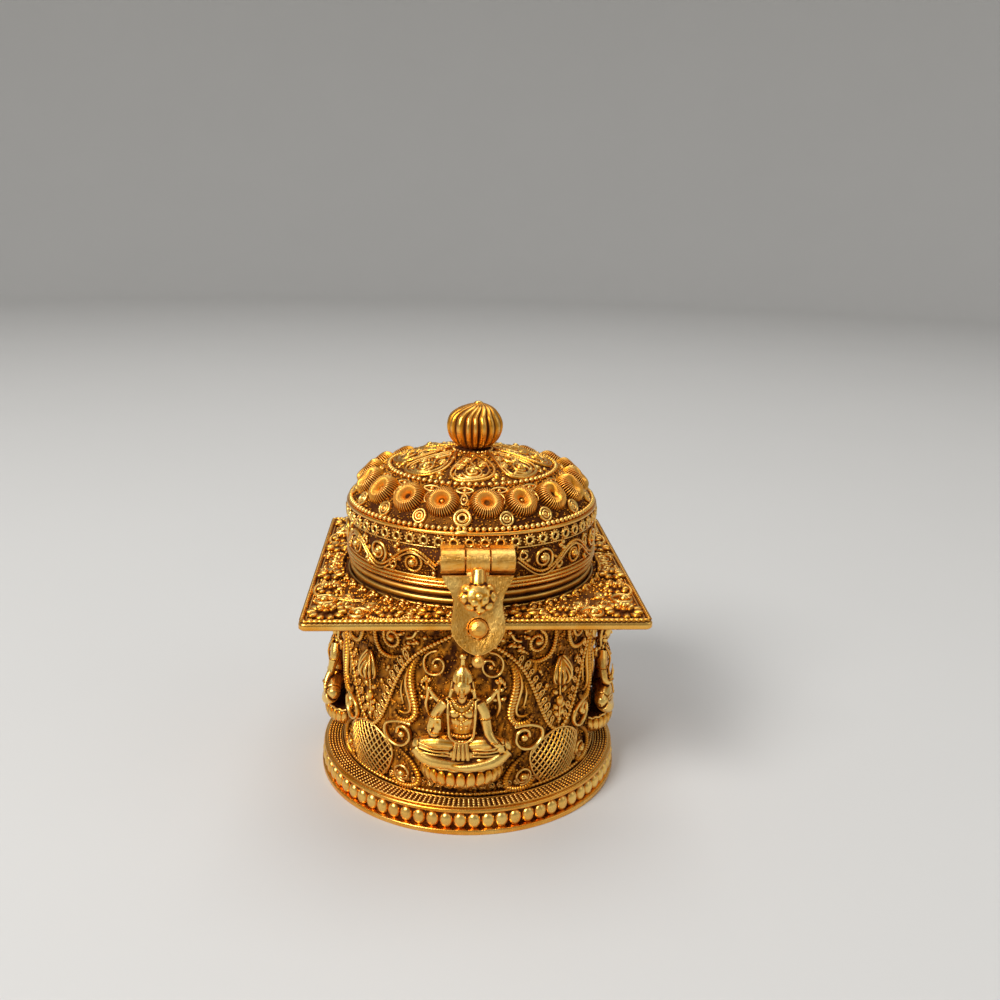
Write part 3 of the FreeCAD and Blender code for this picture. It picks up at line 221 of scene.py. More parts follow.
def ball(sides=8, rings=4, low=0.1):
    """A unit ball: at latitude b and turn a the point is (cos b cos a, cos b sin a, sin b)."""
    latitude = np.linspace(-np.pi / 2, np.pi / 2, rings + 2)[1:-1, None]
    turn = full_turn(sides)
    grid = xyz(np.cos(latitude) * np.cos(turn), np.cos(latitude) * np.sin(turn), np.sin(latitude))
    shade = low + (1 - low) * np.clip(grid[..., 2] * 0.8 + 0.45, 0, 1)
    shape = capped(grid, shade, (0, 0, -1), (0, 0, 1))
    shape.shade[-1] = 1.0
    return shape


def through(points, step, loop=False):
    """A smooth line through the points at even steps: between two points it is the cubic whose slopes at
    its ends follow the neighbours on both sides."""
    points = np.asarray(points, float)
    if loop:
        points = np.concatenate([points[-2:], points, points[:3]])
    place = lengths(points)
    slope = np.gradient(points, place, axis=0)
    first, last = (place[2], place[-3]) if loop else (0, place[-1])
    fine = np.linspace(first, last, 24 * len(points))
    k = np.clip(np.searchsorted(place, fine, side="right") - 1, 0, len(points) - 2)
    gap = (place[k + 1] - place[k])[:, None]
    t = (fine - place[k])[:, None] / gap
    line = (points[k] * (2 * t**3 - 3 * t**2 + 1) + points[k + 1] * (3 * t**2 - 2 * t**3)
            + slope[k] * gap * (t**3 - 2 * t**2 + t) + slope[k + 1] * gap * (t**3 - t**2))
    return evenly(line, step, loop)


def evenly(line, step, loop=False):
    """The same line set out again with its points the same length apart."""
    place = lengths(line)
    count = max(4, int(round(place[-1] / step)) + 1)
    even = np.linspace(0, place[-1], count)
    if loop:
        even = even[:-1]
    return np.stack([np.interp(even, place, line[:, axis]) for axis in range(3)], 1)


def lengths(path):
    """Length of the path up to each of its points."""
    return np.r_[0, np.cumsum(np.linalg.norm(np.diff(path, axis=0), axis=1))]


def tube(path, across, out=None, normal=(0, 0, 1), sides=8, loop=False, low=0.0):
    """A section carried along a path: the point is the path, plus across times the cosine of the turn
    sideways, plus out times its sine along the normal. Both sizes may change along the path and round the
    section."""
    path = np.asarray(path, float)
    count = len(path)
    if loop:
        way = unit(np.roll(path, -1, 0) - np.roll(path, 1, 0))
    else:
        way = unit(np.gradient(path, axis=0))
    normal = np.broadcast_to(np.asarray(normal, float), (count, 3))
    normal = unit(normal - (normal * way).sum(1)[:, None] * way)
    side = np.cross(normal, way)
    turn = full_turn(sides)
    across = np.asarray(across, float)
    across = np.broadcast_to(across[:, None] if across.ndim == 1 else across, (count, sides))
    out = across if out is None else np.asarray(out, float)
    out = np.broadcast_to(out[:, None] if out.ndim == 1 else out, (count, sides))
    grid = (path[:, None] + (across * np.cos(turn))[..., None] * side[:, None]
            + (out * np.sin(turn))[..., None] * normal[:, None])
    crest = (across / max(across.max(), 1e-9)) ** 2
    shade = low + (1 - low) * np.clip(np.sin(turn) * 0.75 + 0.45, 0, 1) * (0.25 + 0.75 * crest)
    if loop:
        return Shape(grid.reshape(-1, 3), [lattice(count, sides, True, True)], shade.ravel())
    return capped(grid, shade)


def whole(path, pitch, loop):
    """The pitch changed a little, so that a looped path has a whole number of them."""
    length = lengths(path)[-1]
    return length / max(round(length / pitch), 1) if loop else pitch


def rope(path, radius, pitch=1.1, sides=8, loop=False, depth=0.42):
    """A wire twisted from two: its radius is largest in two directions, which turn with the length."""
    place = lengths(path)[:, None]
    swell = np.abs(np.cos(full_turn(sides) - np.pi * place / whole(path, pitch / 2, loop)))
    return tube(path, radius * (1 - depth + depth * swell), sides=sides, loop=loop)


def beaded(path, radius, pitch=0.75, sides=8, loop=False, depth=0.45):
    """A wire rolled into grains: the radius follows the root of the sine of the length over the pitch."""
    swell = np.abs(np.sin(np.pi * lengths(path) / whole(path, pitch, loop))) ** 0.55
    return tube(path, radius * (1 - depth + depth * swell), sides=sides, loop=loop)


def spring(path, radius, pitch=0.62, depth=0.34, taper=None):
    """A close coil of wire: the radius follows the rounded wave of its turns, which lean over the path."""
    sides = 10
    swell = np.abs(np.sin(np.pi * lengths(path)[:, None] / pitch + 0.5 * np.cos(full_turn(sides)))) ** 0.6
    size = radius if taper is None else radius * taper[:, None]
    return tube(path, size * (1 - depth + depth * swell), sides=sides)


def swelled(count, start=0.25, end=0.25, power=0.5):
    """Thickness along a piece: from the start's share of it to all of it in the middle, and to the end's."""
    t = np.linspace(0, 1, count)
    hump = np.sin(np.pi * t) ** power
    return hump + (1 - hump) * (start * (1 - t) + end * t)


def leaf(length, width, height, base=0.0):
    """A pointed leaf along y: half its width is that of a sine wave over its length, raised to a power, and
    its section is an ellipse whose half height is the height."""
    t = np.linspace(0, 1, 9)[1:-1]
    form = np.sin(np.pi * t**1.15) ** 0.7
    return tube(xyz(0, length * t, base), width / 2 * form, height * form, sides=8, low=0.1)


def curl(centre, start, turns, outer, inner, step=0.3):
    """A flat spiral: from its start in degrees it makes so many turns, while its radius goes to the inner."""
    count = max(8, int(abs(turns) * 2 * np.pi * (outer + inner) / 2 / step))
    t = np.linspace(0, 1, count)
    angle = np.radians(start) + 2 * np.pi * turns * t
    radius = outer + (inner - outer) * t
    return xyz(centre[0] + radius * np.cos(angle), centre[1] + radius * np.sin(angle), 0)


def turned(profile, sides, shade=0.8):
    """A profile of (radius, height) carried round the axis. It runs upwards on the outside, and a radius of
    0 at an end is closed to a point; otherwise its last point joins its first."""
    profile = np.asarray(profile, float)
    shade = np.broadcast_to(shade, len(profile))
    poles = profile[0, 0] == 0 and profile[-1, 0] == 0
    rim = profile[1:-1] if poles else profile
    grid = about(rim[:, :1], full_turn(sides), rim[:, 1:])
    if poles:
        rows = np.broadcast_to(shade[1:-1, None], grid.shape[:2])
        return capped(grid, rows, (0, 0, profile[0, 1]), (0, 0, profile[-1, 1]))
    rows = np.broadcast_to(shade[:, None], grid.shape[:2])
    return Shape(grid.reshape(-1, 3), [lattice(len(rim), sides, True, True)], rows.ravel())


def bent(shape, radius, turns=(0.0,)):
    """A flat pattern bent round the axis, once for each turn: x is a length along the wall at that radius,
    y the height and z the distance out of the wall."""
    angle = shape.points[:, 0] / radius + np.radians(np.asarray(turns))[:, None]
    return repeated(shape, about(radius + shape.points[:, 2], angle, shape.points[:, 1]))


def on_panels(shape):
    """A pattern drawn on the flat about a panel's middle, bent on to the drum once for each panel."""
    return bent(shape, DRUM, PANELS)


def ring_places(count, radius, height, lean=90.0, first=0.0):
    """Places round the axis with their frames: x runs round, z leans out by so many degrees from
    upright."""
    angle = np.radians(first) + full_turn(count)
    lean = np.radians(lean)
    out = about(np.sin(lean), angle, np.cos(lean))
    along = xyz(np.cos(angle), np.sin(angle), 0)
    return about(radius, angle, height), np.stack([along, np.cross(out, along), out], 1)


def lying(degrees):
    """Frames that lie on a flat pattern, whose y is turned so many degrees from the pattern's x."""
    angle = np.radians(degrees)
    side, along = xyz(np.sin(angle), -np.cos(angle), 0), xyz(np.cos(angle), np.sin(angle), 0)
    return np.stack([side, along, xyz(0 * angle, 0, 1)], 1)


def arc(degrees, height, out=0.0, radius=DRUM):
    """Points on the flat pattern of a round wall of that radius, from degrees round it and heights."""
    return xyz(np.radians(degrees) * radius, height, out)


def scattered(count, low, high, seed):
    """Random places in a rectangle, always the same ones for a seed."""
    random = np.random.default_rng(seed)
    return low + random.random((count, len(low))) * (np.asarray(high) - low)


def piece(name, shape, body, nodes=(), finish="filigree gold", sharp=None):
    """Puts a shape into a mesh in metres with its shade as an attribute, gives it the finish of that name,
    and rides it on a body in place of the nodes it stands for."""
    loops = np.concatenate([rows.ravel() for rows in shape.faces]).astype(np.int32)
    totals = np.concatenate([np.full(len(rows), rows.shape[1]) for rows in shape.faces])
    mesh = bpy.data.meshes.new(name)
    mesh.vertices.add(len(shape.points))
    mesh.vertices.foreach_set("co", (shape.points * 0.001).astype(np.float32).ravel())
    mesh.loops.add(len(loops))
    mesh.loops.foreach_set("vertex_index", loops)
    mesh.polygons.add(len(totals))
    mesh.polygons.foreach_set("loop_start", np.r_[0, np.cumsum(totals)[:-1]].astype(np.int32))
    mesh.polygons.foreach_set("use_smooth", np.ones(len(totals), bool))
    mesh.update(calc_edges=True)
    if mesh.validate():
        raise RuntimeError(name + " has faces that don't close")
    mesh.attributes.new("shade", "FLOAT", "POINT").data.foreach_set("value", shape.shade.astype(np.float32))
    if sharp:
        mesh.set_sharp_from_angle(angle=np.radians(sharp))
    made = bpy.data.objects.new(name, mesh)
    bpy.context.scene.collection.objects.link(made)
    mesh.materials.append(bpy.data.materials[finish])
    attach(made, body)
    if nodes:
        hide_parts(*nodes)


class Value:
    """A socket that takes part in sums: each operator adds the Math node that does it."""

    def __init__(self, recipe, socket):
        self.recipe = recipe
        self.socket = socket

    def math(self, operation, first, second):
        return self.recipe.add("ShaderNodeMath", {"operation": operation}, {0: first, 1: second})["Value"]

    def __add__(self, other):
        return self.math("ADD", self, other)

    __radd__ = __add__

    def __sub__(self, other):
        return self.math("SUBTRACT", self, other)

    def __rsub__(self, other):
        return self.math("SUBTRACT", other, self)

    def __mul__(self, other):
        return self.math("MULTIPLY", self, other)

    __rmul__ = __mul__

    def clamped(self):
        return self.recipe.add("ShaderNodeClamp", {}, {"Value": self})["Result"]


class Recipe:
    """One material: a Principled shader and the nodes that feed it."""

    def __init__(self, name):
        self.material = bpy.data.materials.new(name)
        self.material.use_nodes = True
        self.nodes = self.material.node_tree.nodes
        self.shader = next(node for node in self.nodes if node.type == "BSDF_PRINCIPLED")

    def link(self, value, socket):
        if isinstance(value, Value):
            self.material.node_tree.links.new(value.socket, socket)
        else:
            socket.default_value = value

    def add(self, kind, settings, values):
        """A node of that type with its settings set first; returns its outputs by name."""
        node = self.nodes.new(kind)
        for key, value in settings.items():
            setattr(node, key, value)
        for key, value in values.items():
            self.link(value, node.inputs[key])
        return {socket.name: Value(self, socket) for socket in node.outputs if socket.enabled}

    def noise(self, scale, detail=3.0, roughness=0.55, stretch=None):
        """Noise on Object coordinates, so many lumps to the metre."""
        place = self.add("ShaderNodeTexCoord", {}, {})["Object"]
        if stretch:
            place = self.add("ShaderNodeMapping", {}, {"Vector": place, "Scale": stretch})["Vector"]
        values = {"Vector": place, "Scale": scale, "Detail": detail, "Roughness": roughness}
        return self.add("ShaderNodeTexNoise", {}, values)["Fac"]

    def mix(self, factor, first, second):
        """A colour between two colours."""
        first = first if isinstance(first, Value) else (*first, 1)
        second = second if isinstance(second, Value) else (*second, 1)
        return self.add("ShaderNodeMix", {"data_type": "RGBA"}, {0: factor, 6: first, 7: second})["Result"]

    def feed(self, **values):
        for key, value in values.items():
            self.link(value, self.shader.inputs[key.replace("_", " ")])

    def bump(self, height, distance):
        values = {"Height": height, "Distance": distance, "Strength": 1.0}
        self.feed(Normal=self.add("ShaderNodeBump", {}, values)["Normal"])


def gilding(name, colours, dark=0.45, spread_out=2.6, rough=0.30, pits=0.00003):
    """Antique gilding: the shade attribute with noise on it parts the dark hollows from the gold, and the
    crests take the bright gold: partly wear, partly a painted highlight."""
    recipe = Recipe(name)
    shade = recipe.add("ShaderNodeAttribute", {"attribute_name": "shade"}, {})["Fac"]
    patches = recipe.noise(260.0, 4.0)
    fine = recipe.noise(2600.0, 4.0, 0.6)
    broad = recipe.noise(60.0, 2.0)
    gilt = ((shade - dark) * spread_out + 0.5 + (patches - 0.5) * 1.1 + (fine - 0.5) * 0.5).clamped()
    # Crests take the bright gold: partly wear, partly a painted highlight on them
    worn_and_highlight = ((shade - 0.72) * 3.0 + (patches - 0.5) * 1.2 + (broad - 0.5) * 0.8).clamped()
    tone = recipe.mix(gilt, tuple(colours.hollow), tuple(colours.gold))
    recipe.feed(Base_Color=recipe.mix(worn_and_highlight, tone, tuple(colours.bright)))
    recipe.feed(Metallic=0.8 + gilt * 0.2)
    recipe.feed(Roughness=(rough + 0.42 - gilt * 0.42 + (fine - 0.5) * 0.22).clamped())
    recipe.bump(fine * 0.6 + patches * 0.6, pits)
    return recipe.material


def satin(name, colours, stretch=(1.0, 1.0, 0.12)):
    """Satin pale gold: fine file marks stretched along the piece, warm stains and small dents."""
    recipe = Recipe(name)
    marks = recipe.noise(5200.0, 3.0, 0.6, stretch)
    stains = recipe.noise(240.0, 4.0)
    dents = recipe.noise(1300.0, 3.0)
    stained = ((stains - 0.45) * 4.5).clamped()
    tint = recipe.mix(stained, tuple(colours.gold), tuple(colours.pale))
    spotted = recipe.mix(((dents - 0.56) * 5.0).clamped(), tint, (0.55, 0.20, 0.02))
    recipe.feed(Base_Color=recipe.mix(((marks - 0.5) * 1.4 + 0.3).clamped(), spotted, tuple(colours.bright)))
    recipe.feed(Metallic=1.0)
    recipe.feed(Roughness=(0.36 + (marks - 0.5) * 0.35 + (stains - 0.5) * 0.25).clamped())
    recipe.bump(marks * 0.4 + dents, 0.0001)
    return recipe.material


class PAAN_OT_finishes(Operator):
    """Makes the finishes: the antique gildings, and the satin and brushed gold of the hinges"""
    bl_idname = "paan.finishes"
    bl_label = "Finishes"

    def execute(self, context):
        colours = context.scene.paan_colours
        gilding("filigree gold", colours)
        gilding("dark ground", colours, dark=0.44, spread_out=1.5, rough=0.40, pits=0.00012)
        gilding("dark gold", colours, dark=0.45, spread_out=1.6, rough=0.38, pits=0.00022)
        gilding("figure gold", colours, dark=0.42, rough=0.30, pits=0.00004)
        gilding("rosette gold", colours, dark=0.42, spread_out=2.2, rough=0.38, pits=0.00002)
        gilding("smooth gold", colours, dark=0.25, rough=0.26, pits=0.00002)
        gilding("inner gold", colours, dark=0.56, spread_out=1.6, rough=0.42, pits=0.00002)
        satin("satin gold", colours)
        satin("brushed gold", colours, (0.15, 1.0, 1.0))
        return {"FINISHED"}


class PAAN_OT_stage(Operator):
    """Sets the pale floor and backdrop, the soft lamps and the camera"""
    bl_idname = "paan.stage"
    bl_label = "Stage"

    def execute(self, context):
        scene = context.scene
        scene.view_settings.view_transform = "Standard"
        floor = Recipe("floor")
        colour = tuple(scene.paan_colours.floor)
        grain = floor.noise(9.0, 2.0)
        floor.feed(Base_Color=floor.mix(grain, colour, tuple(0.97 * part for part in colour)))
        floor.feed(Roughness=0.85)
        # The floor, which rises into the backdrop by a quarter of a circle
        bend = np.radians(np.linspace(0, 90, 17)[1:])
        bowl = np.r_[[[0, 0]], xyz(1.1 + 0.45 * np.sin(bend), 0.45 - 0.45 * np.cos(bend)), [[1.55, 1.3]]]
        angle = full_turn(96)
        grid = about(bowl[1:, :1], angle, bowl[1:, 1:])
        here, after = np.arange(96), (np.arange(96) + 1) % 96
        fan = xyz(here, after, grid.shape[0] * 96)
        faces = [tuple(row) for row in lattice(grid.shape[0], 96, loop_columns=True)[:, ::-1]]
        faces += [tuple(row) for row in fan]
        mesh = bpy.data.meshes.new("floor")
        mesh.from_pydata(np.r_[grid.reshape(-1, 3), [[0, 0, 0]]].tolist(), [], faces)
        mesh.shade_smooth()
        mesh.materials.append(floor.material)
        made = bpy.data.objects.new("floor", mesh)
        scene.collection.objects.link(made)
        self.lamp(scene, "key lamp", (-0.52, -0.50, 0.66), 0.38, 7.8)
        self.lamp(scene, "fill lamp", (0.75, -0.30, 0.55), 0.60, 0.7)
        self.lamp(scene, "top lamp", (0.05, 0.25, 1.0), 0.70, 3.5)
        # An even pale room, which the gold mirrors
        world = bpy.data.worlds.new("room")
        world.use_nodes = True
        world.node_tree.nodes["Background"].inputs["Color"].default_value = (0.8, 0.8, 0.8, 1)
        world.node_tree.nodes["Background"].inputs["Strength"].default_value = 0.42
        scene.world = world
        # The camera, whose place and turn were fitted to the photo
        camera = bpy.data.cameras.new("camera")
        camera.lens = 35.64
        camera.sensor_width = 36.0
        camera.clip_start = 0.005
        made = bpy.data.objects.new("camera", camera)
        yaw, pitch, roll = np.radians((4.166, 15.813, 1.365))
        forward = np.array((np.sin(yaw) * np.cos(pitch), np.cos(yaw) * np.cos(pitch), -np.sin(pitch)))
        level = np.array((np.cos(yaw), -np.sin(yaw), 0.0))
        upright = np.cross(level, forward)
        right = np.cos(roll) * level + np.sin(roll) * upright
        up = -np.sin(roll) * level + np.cos(roll) * upright
        turn = np.eye(4)
        turn[:3, 0], turn[:3, 1], turn[:3, 2] = right, up, -forward
        turn[:3, 3] = (-0.0080, -0.1843, 0.1066)
        made.matrix_world = Matrix(turn.tolist())
        scene.collection.objects.link(made)
        scene.camera = made
        return {"FINISHED"}

    def lamp(self, scene, name, place, size, power):
        """A square area lamp at a place, turned to face the middle of the box."""
        light = bpy.data.lights.new(name, "AREA")
        light.size = size
        light.energy = power
        made = bpy.data.objects.new(name, light)
        back = unit(np.array(place) - (0, 0, 0.04))
        side = unit(np.cross((0, 0, 1), back))
        turn = np.eye(4)
        turn[:3, 0], turn[:3, 1], turn[:3, 2], turn[:3, 3] = side, np.cross(back, side), back, place
        made.matrix_world = Matrix(turn.tolist())
        scene.collection.objects.link(made)


def rounded(inner, outer, low, high, bevel=0.25, steps=4):
    """The section of a turned ring with rounded outer edges, as (radius, height) points running upwards."""
    t = np.radians(np.linspace(0, 90, steps))
    lower = xyz(outer - bevel + bevel * np.sin(t), low + bevel - bevel * np.cos(t))
    upper = xyz(outer - bevel + bevel * np.cos(t), high - bevel + bevel * np.sin(t))
    return np.r_[[[inner, low]], lower, upper, [[inner, high]]]


def hoop(radius, height, step=0.25):
    """A closed circle round the axis, as points."""
    return about(radius, full_turn(int(2 * np.pi * radius / step)), height)


def dots(places, sizes, sides=8, rings=4):
    """Round grains at the places."""
    return spread(ball(sides, rings), places, sizes=sizes)


def drawn(degrees, heights, out=0.3, step=0.2):
    """A smooth line on the drum's flat pattern through places in degrees round it and heights."""
    return through(arc(degrees, heights, out), step)


class PAAN_OT_foot(Operator):
    """Builds the foot: its disc, the beads, the rim wire and the grains in rows on its top"""
    bl_idname = "paan.foot"
    bl_label = "Foot"

    def execute(self, context):
        sizes = context.scene.paan_sizes
        disc = turned(np.r_[[[0, 0]], rounded(20, FOOT, 0, 1.0, 0.22), [[0, 1.0]]], 288, 0.85)
        piece("foot_disc", disc, "box", ["base_floor"], "smooth gold", sharp=60)
        bead = ball(12, 7, 0.5)
        places, frames = ring_places(sizes.foot_beads, 28.75, 2.55)
        width = np.pi * 28.9 / sizes.foot_beads
        beads = spread(bead, places, frames, (width, 1.56, 0.95))
        core = turned(rounded(27.6, 28.75, 1.0, 4.1, 0.1), 144, 0.26)
        piece("foot_beads", joined(core, beads), "box", ["base_bead_band"])
        top = turned(np.r_[[[0, 4.1]], rounded(20, 29.4, 4.1, FOOT_TOP, 0.42, 6), [[0, FOOT_TOP]]], 288)
        rows = [spread(ball(6, 3, 0.2), *ring_places(sizes.grain_rows, radius, 5.04), (0.33, 0.30, 0.29))
                for radius in np.linspace(26.1, 28.3, 5)]
        rails = [tube(hoop(radius, 5.05), 0.2, loop=True, sides=6) for radius in (25.7, 28.65)]
        bed = turned(rounded(DRUM, 28.5, 4.95, 5.04, 0.02, 2), 144, 0.3)
        piece("foot_top", top, "box", ["base_top"], "smooth gold", sharp=60)
        piece("foot_grains", joined(bed, *rows, *rails), "box", ["base_grain_ring"])
        wire = beaded(hoop(25.1, 5.5, 0.11), 0.42, 0.8, loop=True)
        piece("foot_wire", wire, "box", ["drum_foot_wire"])
        return {"FINISHED"}


# Right half of a panel's arch: degrees round the drum from the panel's middle, and heights
ARCH = ((0, 37.2), (10, 35.2), (19, 32.5), (25, 29.6), (29, 26.5), (32, 23.5), (35, 20.3), (39.5, 16.9),
        (43, 15.5))


def arch_line(step):
    """The arch as a smooth line over the whole panel on the drum's flat pattern."""
    right = np.array(ARCH, float)
    points = np.r_[right[:0:-1] * (-1, 1), right]
    return through(arc(points[:, 0], points[:, 1], 0.3), step)


class PAAN_OT_drum(Operator):
    """Builds the drum's wall, the dark ground of grains on it and the two wires at its top"""
    bl_idname = "paan.drum"
    bl_label = "Drum"

    def execute(self, context):
        sizes = context.scene.paan_sizes
        columns, rows = 600, 80
        rings = joined(tube(hoop(24.75, 39.25), 0.38, loop=True, sides=8, low=0.5),
                       tube(hoop(24.7, 38.45), 0.24, loop=True, sides=6, low=0.4))
        turn = full_turn(columns)
        height = np.linspace(FOOT_TOP, PLATE_LOW, rows)[:, None]
        # The wall is roughened by random heights on three grids, blended evenly between their points
        random = np.random.default_rng(3)
        rough = np.zeros((rows, columns))
        for size, share in ((2, 0.5), (4, 0.35), (8, 0.15)):
            coarse = random.random((rows // size + 2, columns // size))
            across = np.arange(columns) / size
            up = np.arange(rows) / size
            left, below = across.astype(int), up.astype(int)
            side = across - left
            rise = (up - below)[:, None]
            right = (left + 1) % coarse.shape[1]
            low = coarse[below][:, left] * (1 - side) + coarse[below][:, right] * side
            high = coarse[below + 1][:, left] * (1 - side) + coarse[below + 1][:, right] * side
            rough += share * (low * (1 - rise) + high * rise)
        radius = DRUM - 0.12 + 0.3 * (rough - 0.5)
        grid = np.r_[about(radius, turn, height), about(23.7, turn, height[[-1, 0]])]
        shade = np.r_[(1.3 * (rough - 0.26)).ravel(), np.zeros(2 * columns)]
        wall = Shape(grid.reshape(-1, 3), [lattice(rows + 2, columns, True, True)], shade)
        piece("drum_ground", wall, "box", ["drum_wall"], "dark ground")
        # The ground's grains, each with its own size and brightness
        count = 8600
        places = scattered(count, (0.0, 5.6), (360.0, 39.4), 4)
        grains = spread(ball(5, 2), arc(*places.T),
                        sizes=sizes.grain * 1000 * scattered(count, (0.5,), (1.45,), 5)[:, 0])
        glow = scattered(count, (0.3,), (0.8,), 6)[:, 0]
        grains.shade = grains.shade * np.repeat(glow, len(grains.shade) // count)
        piece("drum_grains", joined(bent(grains, DRUM), rings), "box", finish="dark ground")
        return {"FINISHED"}


class PAAN_OT_arches(Operator):
    """Builds the grained arch of each panel, with the small loops along its outer side"""
    bl_idname = "paan.arches"
    bl_label = "Arches"

    def execute(self, context):
        radius = context.scene.paan_sizes.wire * 1000
        line = arch_line(0.09)
        shape = beaded(line, radius, 0.74, depth=0.6)
        # The frill: a loop with a leaf in it at even steps, leaning towards the arch's top
        frill = arch_line(1.72)
        way = unit(np.gradient(frill, axis=0))
        outward = np.cross((0, 0, 1), way)
        keep = (np.abs(frill[:, 0]) > 9.8) & (np.abs(frill[:, 0]) < 17.2)
        outward, way, frill = outward[keep], way[keep], frill[keep]
        outward = unit(outward - 0.55 * np.sign(frill[:, :1]) * way)
        way = np.cross(outward, (0, 0, 1))
        t = np.linspace(0, 2 * np.pi, 19)[:-1]
        loop = tube(xyz(0.55 * np.sin(t) * (0.75 - 0.25 * np.cos(t)), 0.95 - 0.95 * np.cos(t), 0),
                    0.15, 0.27, loop=True, sides=6)
        vein = spread(leaf(1.25, 0.5, 0.28), [(0, 0.35, 0)])
        turns = np.stack([way, outward, np.broadcast_to((0.0, 0, 1), way.shape)], 1)
        sizes = 0.82 + 0.3 * scattered(len(frill), (0.0,), (1.0,), 12)[:, 0]
        loops = spread(joined(loop, vein), (frill + outward * 0.2) * (1, 1, 0.5), turns, sizes)
        piece("arch_wires_and_loops", on_panels(joined(shape, loops)), "box", ["arch_wires"])
        return {"FINISHED"}


class PAAN_OT_hooks(Operator):
    """Builds the sprung hooks inside the arches"""
    bl_idname = "paan.hooks"
    bl_label = "Sprung hooks"

    def execute(self, context):
        line = drawn([18.0, 20.2, 21.7, 22.0, 21.0, 20.0, 20.0, 22.2, 25.6, 28.8, 30.6],
                     [32.0, 30.8, 29.0, 26.4, 23.9, 22.0, 20.4, 19.1, 18.7, 19.1, 20.2], 0.3, 0.09)
        taper = np.interp(np.linspace(0, 1, len(line)), (0, 0.15, 0.45, 0.8, 1), (0.5, 0.85, 1.0, 0.9, 0.5))
        hook = spring(line, 0.82, 0.62, taper=taper, depth=0.45)
        rail = drawn([22.2, 24.0, 24.6, 23.4, 22.4, 22.8, 25.2, 28.2],
                     [30.0, 28.2, 26.2, 23.8, 22.0, 20.9, 20.3, 20.5])
        form = swelled(len(rail), 0.4, 0.5)
        crescent = tube(rail, 0.3 * form, 0.45 * form, sides=8)
        inner = drawn([26.4, 27.2, 26.6, 26.2, 28.0], [26.6, 24.6, 22.9, 22.0, 21.9], 0.15)
        vein = tube(inner, 0.22 * swelled(len(inner), 0.4, 0.4), sides=6)
        piece("sprung_hooks", on_panels(mirrored(joined(hook, crescent, vein))), "box", ["coiled_hooks"])
        return {"FINISHED"}


class PAAN_OT_scrolls(Operator):
    """Builds the scrolls of the drum: beside the head, at the knees, at the foot and under the plate"""
    bl_idname = "paan.scrolls"
    bl_label = "Drum scrolls"

    def execute(self, context):
        high = drawn([10.5, 13.2, 15.6, 16.2, 14.6, 11.4, 8.6, 7.8, 9.2, 11.4, 12.6],
                     [33.6, 33.2, 32.2, 30.6, 29.2, 28.9, 29.7, 31.0, 32.0, 31.9, 31.0], 0.25)
        middle = drawn([21.8, 26.0, 31.0, 34.6, 35.2, 32.6, 28.4, 24.4, 22.6, 23.2, 25.8, 28.2, 28.8],
                       [18.4, 18.5, 18.0, 17.0, 15.4, 14.0, 13.5, 14.2, 15.6, 17.0, 17.6, 17.1, 16.0])
        strips = joined(tube(high, 0.25, 0.55, sides=8), tube(middle, 0.34, 0.7, sides=8),
                        dots(arc([11.2, 26.6], [30.6, 15.8], 0.3), [0.5, 0.78]))
        tail = drawn([28.8, 25.6, 22.2, 19.6, 18.4, 19.0, 21.8, 25.6, 29.2, 31.2],
                     [13.0, 12.0, 10.8, 9.2, 7.6, 6.5, 5.75, 5.5, 5.8, 6.8], 0.35, 0.09)
        taper = np.interp(np.linspace(0, 1, len(tail)), (0, 0.3, 0.7, 1), (0.45, 0.7, 1.0, 0.7))
        coil = spring(tail, 0.72, 0.56, taper=taper, depth=0.45)
        eye = tube(curl((11.5, 7.75), 250, 1.35, 1.75, 1.0, 0.1), 0.27, 0.5, sides=6)
        seat = dots([(11.5, 7.75, 0.35)], 0.82)
        under = drawn([40.6, 41.0, 39.9, 37.4, 33.8, 30.4, 27.6], [36.8, 34.4, 32.5, 31.1, 30.6, 30.7, 31.3],
                      0.3, 0.09)
        upper = spring(curl((13.7, 34.2), 70, -1.3, 2.1, 0.85, 0.09), 0.36, 0.5)
        sprout = tube(drawn([24.0, 21.4, 19.6], [35.0, 35.4, 36.6], 0.2), 0.28, 0.4, sides=6)
        crest = joined(spring(under, 0.46, 0.52, taper=swelled(len(under), 0.6, 0.4), depth=0.42), upper,
                       sprout,
                       dots([(13.7, 34.2, 0.25)], 0.66),
                       dots(arc([23.4, 19.0, 25.2, 16.0], [34.1, 36.9, 37.4, 35.6], 0.15), 0.42))
        starts = arc([26.6, 25.2, 22.8, 21.0, 25.8, 25.6, 17.5, 33.4, 34.6, 36.4],
                     [32.6, 33.6, 34.0, 34.9, 36.6, 35.8, 26.4, 36.4, 27.6, 24.4], 0.1)
        sprigs = spread(joined(leaf(1.5, 0.75, 0.42), dots([(0, 0, 0)], 0.26)), starts,
                        lying([150, 200, 165, 215, 20, 330, 100, 80, 120, 60]))
        flat = mirrored(joined(strips, coil, eye, seat, crest, sprigs))
        small = curl((0, 0), -60, 1.15, 0.62, 0.3, 0.12)
        places = xyz(full_turn(96) * DRUM, 6.9, 0.1)
        row = joined(spread(tube(small, 0.14, 0.26, sides=6), places), dots(places, 0.26, 6, 3))
        shape = joined(on_panels(flat), bent(row, DRUM))
        piece("drum_scrolls", shape, "box", ["coil_bosses"])
        return {"FINISHED"}


